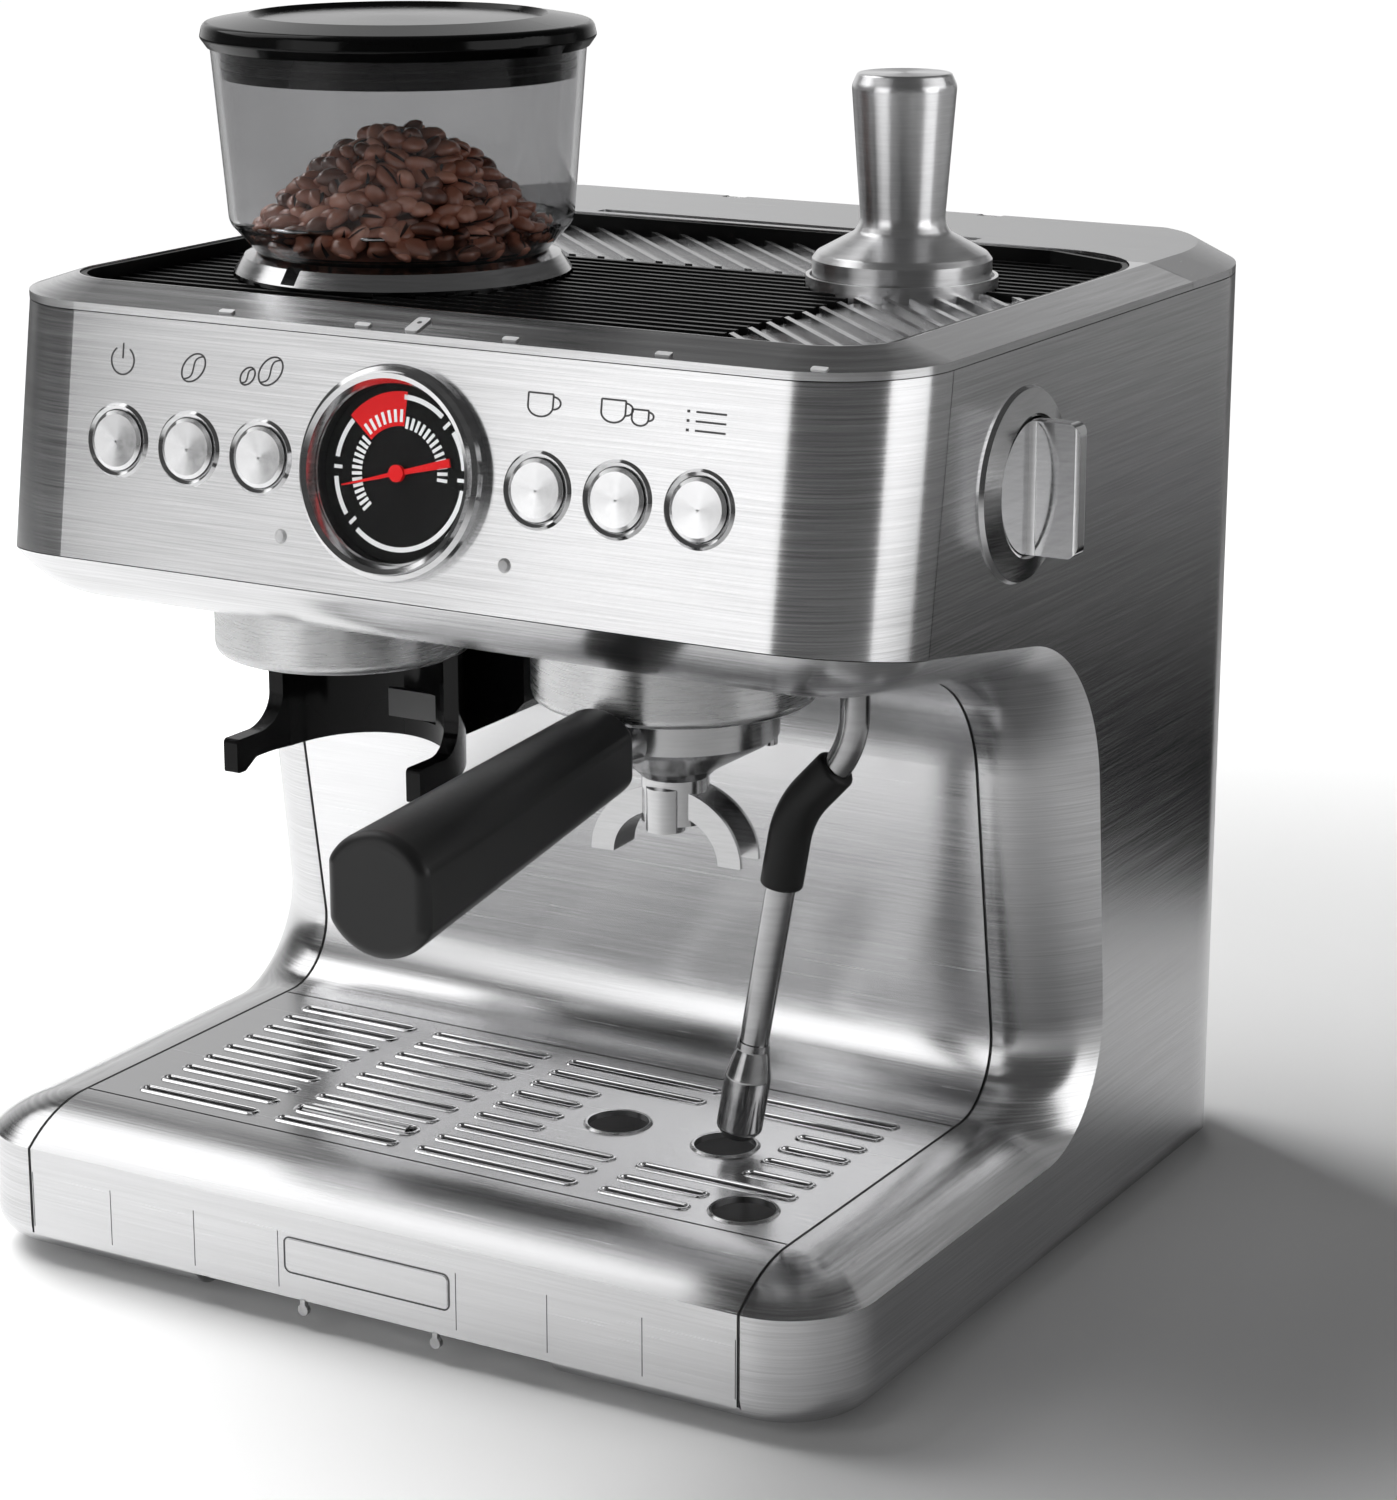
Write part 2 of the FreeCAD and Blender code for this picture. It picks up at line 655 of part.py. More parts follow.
def push_button(x):
    """Spun metal button with a slightly dished face."""
    profile = [(0, -0.9), (BUTTON_R - 1.2, -1.5), (BUTTON_R, -0.9), (BUTTON_R, 5), (3, 5), (3, 7), (0, 7)]
    return on_head(head_turned(profile, x, CONTROL_V))


def indicator_lights():
    lamps = []
    for side in (-1, 1):
        profile = [(0, -1.2), (LAMP_R * 0.7, -0.9), (LAMP_R, 0), (LAMP_R, BOARD_Y), (0, BOARD_Y)]
        lamps.append(on_head(head_turned(profile, side * LAMP_X, CONTROL_V - LAMP_DROP)))
    return Part.makeCompound(lamps)


def control_board():
    """Circuit board behind the panel, on posts, with one switch behind each button."""
    low = CONTROL_V - LAMP_DROP - 6
    board = box(-120, 120, BOARD_Y, BOARD_Y + 1.6, low, CONTROL_V + 16)
    board = board.cut(rod_y(0, 0, CONTROL_V, GAUGE_BORE_R + 4, 20))
    parts = []
    switch_y = 7 + BUTTON_TRAVEL + CLEAR
    for side in (-1, 1):
        for x in BUTTON_X:
            parts.append(rod_y(side * x, switch_y, CONTROL_V, 3, BOARD_Y - switch_y))
        for v in (low + 4, CONTROL_V + 12):
            parts.append(rod_y(side * 116, SHEET, v, 3, BOARD_Y - SHEET))
        parts.append(box(side * 60 - 14, side * 60 + 14, BOARD_Y + 1.6, BOARD_Y + 9, low + 6, low + 24))
    return on_head(joined(board, *parts))


# Group head and portafilter

def collar(x, y, radius, lip_radius):
    profile = [(lip_radius, COLLAR_Z), (radius, COLLAR_Z), (radius, COLLAR_TOP), (COLLAR_BORE_R, COLLAR_TOP),
               (COLLAR_BORE_R, COLLAR_Z + 3), (lip_radius, COLLAR_Z + 3)]
    return turned(profile, x, y, [0, 3, 0, 0, 0, 0])


def group_collar():
    """Locking collar with two entry gaps in its lip for the portafilter's lugs."""
    ring = collar(GROUP_X, GROUP_Y, GROUP_COLLAR_R, COLLAR_LIP_R)
    gap = box(-COLLAR_BORE_R, COLLAR_BORE_R, -11, 11, COLLAR_Z - 1, COLLAR_Z + 4)
    gap.rotate(V(0, 0, 0), UP, -55)
    gap.translate(V(GROUP_X, GROUP_Y, 0))
    return ring.cut(gap)


def group_head():
    body = rod(GROUP_X, GROUP_Y, COLLAR_Z + 14, COLLAR_BORE_R - FIT, COLLAR_TOP - COLLAR_Z - 14)
    flange = rod(GROUP_X, GROUP_Y, COLLAR_TOP, GROUP_COLLAR_R, 6)
    return joined(body, flange)


def group_gasket():
    z = COLLAR_Z + 10.3
    bore = BASKET_R - 1
    wide = COLLAR_BORE_R - 0.5
    return turned([(bore, z), (wide, z), (wide, z + 3.7), (bore, z + 3.7)], GROUP_X, GROUP_Y)


def shower_screen():
    z = COLLAR_Z + 9.0
    r = BASKET_R - 2.5
    profile = [(0, z), (r - 2, z), (r, z + 1.5), (r, z + 5), (0, z + 5)]
    return turned(profile, GROUP_X, GROUP_Y)


def porta_cup(x, y):
    rim = COLLAR_Z + 8.7
    ring = PORTA_RING_Z
    neck = PORTA_NECK_Z
    profile = [(BASKET_R + 1.0, rim), (PORTA_R, rim), (PORTA_R, ring), (PORTA_R - 2.5, ring - 2.0),
               (PORTA_NECK_R + 3, neck + 1.5), (PORTA_NECK_R, neck - 1.5), (PORTA_NECK_R, neck - 4),
               (4, neck - 4), (4, neck + 4), (BASKET_R + 1.0, ring - 1)]
    return turned(profile, x, y)


def locked(shape):
    """Turn a portafilter piece from straight ahead to where it locks."""
    shape.rotate(V(GROUP_X, GROUP_Y, 0), UP, PORTA_TURN)
    return shape


def portafilter_body():
    """Chromed cup with locking lugs, the ferrule that carries the handle and a spring boss."""
    cup = porta_cup(GROUP_X, GROUP_Y)
    lugs = box(-COLLAR_BORE_R + 0.6, COLLAR_BORE_R - 0.6, -8, 8, COLLAR_Z + 3.3, COLLAR_Z + 8)
    lugs = lugs.common(rod(0, 0, COLLAR_Z, COLLAR_BORE_R - 0.6, 10))
    lugs = lugs.cut(rod(0, 0, COLLAR_Z, PORTA_R - 1, 12))
    lugs.translate(V(GROUP_X, GROUP_Y, 0))
    start = V(GROUP_X, GROUP_Y - PORTA_R + 4, HANDLE_NECK_Z - 2)
    end = V(GROUP_X, HANDLE_NECK_Y, HANDLE_NECK_Z - 1.2)
    ferrule = Part.makeCone(FERRULE_R, FERRULE_R - 0.4, (end - start).Length + 2, start, end - start)
    ferrule = ferrule.cut(box(-HALF, HALF, 3 * FRONT, HANDLE_NECK_Y, 0, BODY_TOP))
    ferrule = ferrule.cut(rod(GROUP_X, GROUP_Y, 0, BASKET_R + 1.0, BODY_TOP))
    boss = rod(GROUP_X + 23, GROUP_Y + 18, PORTA_RING_Z - 6, 3.6, 5)
    return locked(joined(cup, *lugs.Solids, ferrule, boss))


def filter_basket():
    rim = COLLAR_Z + 8.7
    low = PORTA_RING_Z + 0.5
    profile = [(0, low), (BASKET_R - 2, low), (BASKET_R, low + 2), (BASKET_R, rim), (PORTA_R - 0.4, rim),
               (PORTA_R - 0.4, rim + 1.2), (BASKET_R - 0.8, rim + 1.2), (BASKET_R - 0.8, low + 2.2),
               (BASKET_R - 2.4, low + 0.8), (0, low + 0.8)]
    return turned(profile, GROUP_X, GROUP_Y)


def handle_section(centre, radius):
    """Round section with an eased flat on each side."""
    flat = radius * HANDLE_FLAT
    near = flat - HANDLE_EASE
    rise = math.sqrt((radius - HANDLE_EASE) ** 2 - near ** 2)
    out = radius / (radius - HANDLE_EASE)
    lean = math.atan2(rise, near) / 2

    def at(x, z):
        return centre + V(x, 0, z)

    edges = []
    for side in (1, -1):
        edges.append(Part.Arc(at(-side * near * out, side * rise * out), at(0, side * radius),
                              at(side * near * out, side * rise * out)))
        edges.append(Part.LineSegment(at(side * flat, side * rise), at(side * flat, -side * rise)))
        for up in (1, -1):
            crown_x = near + HANDLE_EASE * math.cos(lean)
            crown_z = rise + HANDLE_EASE * math.sin(lean)
            edges.append(Part.Arc(at(side * near * out, up * rise * out), at(side * crown_x, up * crown_z),
                                  at(side * flat, up * rise)))
    return Part.Wire(Part.__sortEdges__([e.toShape() for e in edges]))


def portafilter_handle():
    """Moulded handle with flat flanks that swells towards its rounded end."""
    start = V(GROUP_X, HANDLE_NECK_Y, HANDLE_NECK_Z)
    end = V(GROUP_X, HANDLE_END_Y, HANDLE_END_Z)
    wires = [handle_section(start, HANDLE_NECK_R), handle_section(end, HANDLE_END_R)]
    body = Part.makeLoft(wires, True, True)
    tip = [e for f in flat_faces(body, "y", HANDLE_END_Y) for e in f.Edges]
    neck = [e for f in flat_faces(body, "y", HANDLE_NECK_Y) for e in f.Edges]
    return locked(body.makeFillet(3.6, tip).makeFillet(3.0, neck))


def arch_wire(width, height, y, z):
    """Upper half of an ellipse, closed below."""
    ellipse = Part.Ellipse(V(0, 0, 0), max(width, height), min(width, height))
    arc = Part.ArcOfEllipse(ellipse, 0, math.pi).toShape()
    if height > width:
        arc = Part.ArcOfEllipse(ellipse, -math.pi / 2, math.pi / 2).toShape()
        arc.rotate(V(0, 0, 0), UP, 90)
    arc.rotate(V(0, 0, 0), V(1, 0, 0), 90)
    arc.translate(V(0, y, z))
    ends = [v.Point for v in arc.Vertexes]
    return Part.Wire([arc, Part.LineSegment(ends[-1], ends[0]).toShape()])


def portafilter_spout():
    """Twin spout: two open gutters that part left and right below the neck."""
    top = PORTA_NECK_Z - 4
    height = top - SPOUT_TIP_Z
    wall = 1.4
    y = -SPOUT_WIDTH / 2

    def arch(width, tall, y0, y1):
        return Part.Face(arch_wire(width, tall, y0, SPOUT_TIP_Z)).extrude(V(0, y1 - y0, 0))

    inner = SPOUT_SPREAD - SPOUT_BAND
    low = height - SPOUT_BAND
    body = arch(SPOUT_SPREAD, height, y, -y).cut(arch(inner, low, y - 1, 1 - y))
    gutter = arch(SPOUT_SPREAD + 4, height + 4, y + wall, -y - wall)
    gutter = gutter.cut(arch(inner + wall, low + wall, y - 1, 1 - y))
    gutter = gutter.cut(box(-PORTA_NECK_R, PORTA_NECK_R, -30, 30, 0, 300))
    stem = rod(0, 0, top - 12, PORTA_NECK_R, 12).cut(rod(0, 0, top - 9, PORTA_NECK_R - 2, 20))
    nose = rod(0, y + 0.5, top - 14, 6.2, 14)
    spout = joined(body.cut(gutter), stem, nose)
    spout.translate(V(GROUP_X, GROUP_Y, 0))
    return locked(spout)


# Grinder

def grinder_collar():
    return collar(GRIND_X, GRIND_Y, GRIND_COLLAR_R, COLLAR_BORE_R)


def grinder_cradle():
    """Black fork that holds the portafilter under the grinder outlet: low feet that sweep up into stems."""
    inner = CRADLE_R
    outer = CRADLE_R + CRADLE_WALL
    foot = CRADLE_FOOT_Z
    ledge = foot + CRADLE_FOOT
    drop = 1.5
    front = -CRADLE_REACH
    fork = fork_plan(outer, front, foot - drop, COLLAR_Z)
    fork = fork.cut(fork_plan(inner, front - 1, foot - 2 * drop, COLLAR_Z + 1))
    side = [(front, foot - drop, 1.0), (front, ledge, 1.5), (CRADLE_STEM_Y, ledge, 11.0),
            (CRADLE_STEM_Y, COLLAR_Z, 0), (outer + 1, COLLAR_Z, 0), (outer + 1, foot + 6, 0),
            (12, foot + 2, 10.0), (-5, foot + 2, 4.0), (front + 4.5, foot - drop, 1.0)]
    points = [V(-outer - 1, y, z) for y, z, r in side]
    outline = prism(points, [r for y, z, r in side], V(2 * outer + 2, 0, 0))
    rear = [(8 - outer, foot + 8), (24, foot + 8), (43, foot + 17.7), (47, foot + 22), (47, COLLAR_Z),
            (8 - outer, COLLAR_Z)]
    block = prism([V(x, outer - 4, z) for x, z in rear], [0] * 6, V(0, 18, 0))
    cradle = fork.common(outline).fuse(block).removeSplitter()
    low = foot + SWITCH_LOW - CLEAR
    reach = SWITCH_HALF + CLEAR
    cradle = cradle.cut(box(SWITCH_X - reach, SWITCH_X + reach, inner - 4, inner + 4,
                            low, low + SWITCH_TALL + 2 * CLEAR))
    cradle.translate(V(GRIND_X, GRIND_Y, 0))
    return cradle.cut(bay_wall_cutter())


def fork_plan(radius, front_y, z0, z1):
    """Upright block, round at the back and straight-sided towards the front."""
    bend = radius - 0.01
    return round_block(-radius, radius, front_y, radius, z0, z1, 0, bend)


def bay_wall_cutter():
    """Everything behind the bay's back wall, for trimming what is fixed to it."""
    half = INNER
    section = bay_section(-half, 1, 0)
    space = Part.Face(section).extrude(V(2 * half, 0, 0))
    return box(-half, half, FAR + 1, BACK, BASE_TOP + 1, COLLAR_Z + 40).cut(space)


def grind_switch():
    """Plate that the portafilter presses to start grinding."""
    low = CRADLE_FOOT_Z + SWITCH_LOW
    plate = box(SWITCH_X - SWITCH_HALF, SWITCH_X + SWITCH_HALF, CRADLE_R - 1.5, CRADLE_R + 1.0,
                low, low + SWITCH_TALL)
    plate.translate(V(GRIND_X, GRIND_Y, 0))
    return plate


def grinder_body():
    """Burr housing under the hopper, with the chute that drops into the outlet collar."""
    low = BURR_Z - 8
    top = DECK_Z - CLEAR
    housing = rod(HOPPER_X, HOPPER_Y, low, BURR_BORE_R + 8, top - low)
    chute = box(GRIND_X - 16, GRIND_X + 16, GRIND_Y - 18, HOPPER_Y, COLLAR_Z + 2, BURR_Z + 6)
    chute = chute.cut(box(-HALF, HALF, GRIND_Y + 18, 0, 0, low))
    body = joined(housing, chute)
    body = body.cut(rod(HOPPER_X, HOPPER_Y, BURR_Z, BURR_BORE_R, 80))
    body = body.cut(rod(HOPPER_X, HOPPER_Y, low - 1, SHAFT_R + FIT, 20))
    body = body.cut(rod(GRIND_X, GRIND_Y, COLLAR_Z, 12, BURR_Z + 3 - COLLAR_Z))
    return body.cut(box(GRIND_X - 10, GRIND_X + 10, GRIND_Y, HOPPER_Y, BURR_Z, BURR_Z + 3))


def lower_burr():
    cone = turned([(0, BURR_Z + 3), (22, BURR_Z + 3), (22, BURR_Z + 9), (9, BURR_Z + 28), (0, BURR_Z + 28)],
                  HOPPER_X, HOPPER_Y)
    teeth = []
    count = 12
    for i in range(count):
        groove = box(8, 26, -1.2, 1.2, BURR_Z + 9, BURR_Z + 30)
        groove.rotate(V(0, 0, 0), UP, i * 360 / count)
        teeth.append(groove.cut(turned([(0, BURR_Z), (20, BURR_Z), (20, BURR_Z + 9), (6, BURR_Z + 29),
                                        (0, BURR_Z + 29)], 0, 0)))
    grooves = Part.makeCompound(teeth)
    grooves.translate(V(HOPPER_X, HOPPER_Y, 0))
    shaft = rod(HOPPER_X, HOPPER_Y, BURR_Z - 8, SHAFT_R, 12)
    return joined(cone.cut(grooves), shaft)


def upper_burr():
    """Ring burr on the hopper's neck; turning the hopper raises or lowers the grind."""
    profile = [(23.2, BURR_Z + 9), (BURR_BORE_R - FIT, BURR_Z + 9), (BURR_BORE_R - FIT, BURR_Z + 26),
               (13.5, BURR_Z + 26)]
    return turned(profile, HOPPER_X, HOPPER_Y)


def grinder_motor():
    """Motor behind the bay with its flat gear case, which drives the burr shaft."""
    top = BURR_Z - 8
    case_low = top - 14
    motor = rod(HOPPER_X, MOTOR_Y, case_low - 82, MOTOR_R, 82)
    boss = rod(HOPPER_X, MOTOR_Y, case_low - 90, 9, 10)
    case = round_block(HOPPER_X - 30, HOPPER_X + 30, HOPPER_Y - 20, BULKHEAD_Y, case_low, top, 20, 6)
    vents = []
    for i in range(8):
        slot = box(MOTOR_R - 3, MOTOR_R + 3, -3, 3, case_low - 30, case_low - 12)
        slot.rotate(V(0, 0, 0), UP, i * 45)
        slot.translate(V(HOPPER_X, MOTOR_Y, 0))
        vents.append(slot)
    return joined(motor.cut(Part.makeCompound(vents)), boss, case)


# Hopper, lid and tamper

def hopper_bowl():
    """Clear bean bowl: tapered wall, sloped floor and the neck that feeds the burrs."""
    ring = DECK_Z + 6.5
    w = HOPPER_WALL
    profile = [(NECK_R - w, BURR_Z + 26), (NECK_R, BURR_Z + 26), (NECK_R, ring + 5.5), (48, ring + 6.5),
               (56.5, ring + 16), (HOPPER_TOP_R, HOPPER_TOP_Z), (HOPPER_TOP_R - w, HOPPER_TOP_Z),
               (56.5 - w, ring + 17), (47.5, ring + 9), (NECK_R - w, ring + 5.5)]
    return turned(profile, HOPPER_X, HOPPER_Y, [0, 0, 0, 0, 6, 0, 0, 4, 0, 0])


def hopper_ring():
    """Polished base ring with a pointer notch."""
    low = DECK_Z + 5.0
    profile = [(NECK_R + FIT, low), (HOPPER_RING_R - 0.5, low), (HOPPER_RING_R, low + 1.5),
               (HOPPER_RING_R - 3.5, low + 6.5), (48, low + 7.9), (NECK_R + FIT, low + 6.9)]
    ring = turned(profile, HOPPER_X, HOPPER_Y)
    notch = box(-3, 3, -HOPPER_RING_R - 1, -HOPPER_RING_R + 5, low + 2, low + 10)
    notch.rotate(V(0, 0, 0), UP, -8)
    notch.translate(V(HOPPER_X, HOPPER_Y, 0))
    return ring.cut(notch)


def hopper_lid():
    """Lid with a seal skirt inside the bowl and a sunk disc on top."""
    seal = HOPPER_TOP_R - HOPPER_WALL - CLEAR - 1.0
    z = HOPPER_TOP_Z
    top = z + LID_RISE
    rim = HOPPER_TOP_R + LID_OVERHANG
    skirt = z - LID_SKIRT
    profile = [(0, top - 6.5), (seal - 2.5, top - 7.5), (seal - 2.5, skirt), (seal, skirt),
               (seal, z + CLEAR), (HOPPER_TOP_R + 1, z + CLEAR), (rim, z + 3.5), (rim - 1.0, top - 2.5),
               (LID_DISC_R + 1.5, top), (LID_DISC_R, top - 1.4), (0, top - 0.6)]
    return turned(profile, HOPPER_X, HOPPER_Y, [0, 0, 0, 0, 0, 0, 1.2, 2.5, 0, 0, 0])


def tamper():
    """Solid steel tamper: flat base, cone shoulder, waisted handle that flares to its top."""
    z = TAMPER_Z
    top = TAMPER_Z + TAMPER_HEIGHT
    profile = [(0, z), (TAMPER_R - 0.6, z), (TAMPER_R, z + 0.8), (TAMPER_R, z + 6.5),
               (TAMPER_R - 1.5, z + 8.5), (15.5, z + 15), (13.6, z + 18.5), (TAMPER_TOP_R - 0.4, top - 4),
               (TAMPER_TOP_R - 2.2, top), (0, top)]
    return turned(profile, TAMPER_X, TAMPER_Y, [0, 0, 0, 0, 1.5, 3, 6, 4, 1.2, 0])


def tamper_socket():
    low = DECK_Z
    rim = SOCKET_R
    wide = rim + SOCKET_RIM
    profile = [(0, low), (wide, low), (wide, TAMPER_Z + 1.2), (rim, TAMPER_Z + 1.2),
               (rim, TAMPER_Z - CLEAR), (0, TAMPER_Z - CLEAR)]
    return turned(profile, TAMPER_X, TAMPER_Y)


# Steam wand and knob

def wand_points():
    upper = V(WAND_X, WAND_Y, COLLAR_TOP)
    bend = V(WAND_X, WAND_Y, WAND_BEND_Z)
    elbow = V(WAND_ELBOW_X, WAND_Y - 1, WAND_ELBOW_Z)
    tip = V(WAND_TIP_X, WAND_TIP_Y, WAND_TIP_Z)
    return upper, bend, elbow, tip


def wand_pipe(radius):
    upper, bend, elbow, tip = wand_points()
    end = tip - (tip - elbow).normalize() * 24
    return pipe([upper, bend, elbow, end], [0, WAND_BEND_R, WAND_BEND_R, 0], radius)


def steam_tube():
    return wand_pipe(WAND_TUBE_R)


def steam_grip():
    """Rubber sleeve over the bend of the wand."""
    upper, bend, elbow, tip = wand_points()
    start = bend + (elbow - bend).normalize() * 8.6
    end = elbow + (tip - elbow).normalize() * 25.3
    sleeve = pipe([start, elbow, end], [0, WAND_BEND_R, 0], WAND_GRIP_R)
    rims = [e for e in sleeve.Edges if e.Closed and isinstance(e.Curve, Part.Circle)]
    return sleeve.makeFillet(1.4, rims).cut(wand_pipe(WAND_TUBE_R + FIT))


def steam_tip():
    upper, bend, elbow, tip = wand_points()
    along = (tip - elbow).normalize()
    neck = WAND_TUBE_R + 0.6
    profile = [(0, 0), (4.6, 0), (WAND_TIP_R, 3.2), (WAND_TIP_R, 21), (neck, 30.5), (neck, 33), (0, 33)]
    points = [V(r, 0, z) for r, z in profile]
    radii = [0, 1.5, 2.5, 3, 2, 0, 0]
    body = Part.Face(rounded_wire(points, radii)).revolve(V(0, 0, 0), UP, 360)
    body = body.cut(rod(0, 0, -1, 1.2, 8))
    body.Placement = Placement(tip, Rotation(UP, along * -1))
    return body.cut(wand_pipe(WAND_TUBE_R + FIT))


def wand_socket():
    low = head_line_z(WAND_Y) - HEAD_SHOULDER + 1
    top = COLLAR_TOP - 1
    bore = WAND_TUBE_R + FIT
    wide = WAND_TUBE_R + 5 - FIT
    profile = [(bore, low), (wide - 1.5, low), (wide, low + 2), (wide, top), (bore, top)]
    return turned(profile, WAND_X, WAND_Y)


def side_turned(profile):
    """Solid of revolution about the knob's axis from (radius, x) points."""
    points = [V(x, KNOB_Y, KNOB_Z + r) for r, x in profile]
    face = Part.Face(rounded_wire(points, [0] * len(points)))
    return face.revolve(V(0, KNOB_Y, KNOB_Z), V(1, 0, 0), 360)


def knob_bezel():
    """Raised cone round the knob, with a sleeve through the side panel."""
    rim = KNOB_BEZEL_R
    sleeve = KNOB_R + KNOB_SLEEVE
    bore = KNOB_R + 0.5
    profile = [(SHAFT_R + FIT, HALF - 8), (sleeve, HALF - 8), (sleeve, HALF), (rim, HALF),
               (rim - 0.8, HALF + 1.4), (bore + 0.8, HALF + KNOB_FACE - 0.2),
               (bore, HALF + KNOB_FACE - 0.5), (bore, HALF - 6), (SHAFT_R + FIT, HALF - 6)]
    return side_turned(profile)


def steam_knob():
    """Round plate with an upright grip bar, hollowed at its foot, and the shaft to the steam valve."""
    low = HALF - 6 + CLEAR
    face = HALF + KNOB_FACE
    end = HALF + KNOB_PROUD
    half = KNOB_BAR / 2
    foot = KNOB_Z - KNOB_R
    plan = [(low, -KNOB_R), (face - 0.8, -KNOB_R), (face, -half), (end, -half), (end, half), (face, half),
            (face - 0.8, KNOB_R), (low, KNOB_R)]
    points = [V(x, KNOB_Y + y, foot) for x, y in plan]
    grip = prism(points, [0, 0, 2.5, 1.2, 1.2, 2.5, 0, 0], V(0, 0, 2 * KNOB_R))
    grip = grip.common(rod_x(low, KNOB_Y, KNOB_Z, KNOB_R, 2 * KNOB_PROUD))
    side = KNOB_Y - KNOB_R
    top = foot + 2 * KNOB_R
    outline = [V(low, side, foot), V(end, side, foot), V(end, side, top), V(low, side, top)]
    grip = grip.common(prism(outline, [0, 4.2, 4.2, 0], V(0, 2 * KNOB_R, 0)))
    shaft = rod_x(HALF - 38, KNOB_Y, KNOB_Z, SHAFT_R, 34)
    return joined(grip, shaft)


def steam_valve():
    body = box(HALF - 60, HALF - 32, KNOB_Y - 16, KNOB_Y + 16, KNOB_Z - 16, KNOB_Z + 16)
    nut = rod_x(HALF - 32, KNOB_Y, KNOB_Z, 11, HALF - 8 - (HALF - 32))
    bore = rod_x(HALF - 40, KNOB_Y, KNOB_Z, SHAFT_R + FIT, 60)
    outlet = rod(HALF - 46, KNOB_Y, KNOB_Z - 30, 5, 16)
    return joined(body, nut, outlet).cut(bore)


# Drip tray

def shoulder_arc(radius, centre_z):
    """Front shoulder arc from the flat top edge down to the crease, in the tray front's section."""
    angle = math.asin(SHOULDER / tray_radius())
    points = []
    for share in (0, 0.5, 1):
        a = angle * share
        points.append(V(0, CORNER_Y - radius * math.sin(a), centre_z + radius * math.cos(a)))
    return points


def tray_radius():
    drop = BASE_TOP - CREASE_Z
    return (SHOULDER ** 2 + drop ** 2) / (2 * drop)


def tray_profile(inset, back_y, low_z):
    """Section of the tray front, inset by its sheet."""
    radius = tray_radius() - inset
    centre_z = BASE_TOP - tray_radius()
    start, middle, end = shoulder_arc(radius, centre_z)
    front = FRONT + inset
    crease = V(0, front, end.z)
    edges = [Part.LineSegment(V(0, back_y, start.z), start), Part.Arc(start, middle, end)]
    if end.distanceToPoint(crease) > 1e-6:
        edges.append(Part.LineSegment(end, crease))
    edges.append(Part.LineSegment(crease, V(0, front, low_z)))
    edges.append(Part.LineSegment(V(0, front, low_z), V(0, back_y, low_z)))
    edges.append(Part.LineSegment(V(0, back_y, low_z), V(0, back_y, start.z)))
    return Part.Face(Part.Wire([e.toShape() for e in edges]))


def across(face, half):
    face.translate(V(-half, 0, 0))
    return face.extrude(V(2 * half, 0, 0))


def drip_tray_front():
    """Bent steel front of the drip tray with the same round shoulder as the sides."""
    half = INNER - SEAM
    back = GRATE_FRONT_Y - SEAM
    outer = across(tray_profile(0, back, TRAY_LIP_Z), half)
    inner = across(tray_profile(SHEET, back + 5, TRAY_LIP_Z - 5), half + 5)
    return outer.cut(inner)


def drip_tray_basin():
    half = INNER - 2.5
    top = BASE_TOP - GRATE_THICK
    under_front = across(tray_profile(SHEET, GRATE_BACK_Y - 2, TRAY_FLOOR_Z), half)
    outer = under_front.common(box(-half, half, FRONT, 0, 0, top))
    hollow = across(tray_profile(SHEET + TRAY_WALL, GRATE_BACK_Y - 2 - TRAY_WALL, TRAY_FLOOR_Z + TRAY_WALL),
                    half - TRAY_WALL)
    lift = hollow.copy()
    lift.translate(V(0, 0, TRAY_WALL + 2))
    lift = lift.common(box(-half, half, GRATE_FRONT_Y + 1, 0, 0, 2 * BASE_TOP))
    return outer.cut(hollow).cut(lift)


def obround(x0, x1, y, width):
    r = width / 2
    z0 = BASE_TOP - GRATE_THICK - 1
    height = GRATE_THICK + 4
    middle = box(x0 + r, x1 - r, y - r, y + r, z0, z0 + height)
    return middle.fuse([rod(x0 + r, y, z0, r, height), rod(x1 - r, y, z0, r, height)]).removeSplitter()


def slot_spans(row):
    """Slots of one grate row, counted from the back, as spans in x."""
    first, second, third, fourth = SLOT_COLUMNS
    if 2 <= row <= 5:
        return [first, second, (third[0], SHORT_LEFT_END), (SHORT_RIGHT_START, fourth[1])]
    if row == 7:
        return [first, third, (fourth[0], FRONT_SHORT_END)]
    if row == 8:
        return [first, second, third, (fourth[0], FRONT_SHORT_END)]
    return [first, second, third, fourth]


def drip_grate():
    """Slotted steel grate with raised lips round its three holes."""
    half = INNER - SEAM
    plate = box(-half, half, GRATE_FRONT_Y, GRATE_BACK_Y, BASE_TOP - GRATE_THICK, BASE_TOP)
    cuts = []
    for row in range(9):
        y = SLOT_FIRST_Y - row * SLOT_PITCH
        for x0, x1 in slot_spans(row):
            cuts.append(obround(x0, x1, y, SLOT_WIDTH))
    float_y = SLOT_FIRST_Y - 7 * SLOT_PITCH
    cuts.append(obround(*SLOT_COLUMNS[1], float_y, FLOAT_SLOT_WIDTH))
    lips = []
    for x, y in CUP_HOLES:
        lips.append(turned([(CUP_HOLE_R, BASE_TOP), (CUP_HOLE_R + 1.4, BASE_TOP),
                            (CUP_HOLE_R + 0.7, BASE_TOP + 0.7), (CUP_HOLE_R, BASE_TOP + 0.5)], x, y))
        cuts.append(rod(x, y, BASE_TOP - GRATE_THICK - 1, CUP_HOLE_R, GRATE_THICK + 4))
    return joined(plate, *lips).cut(Part.makeCompound(cuts))


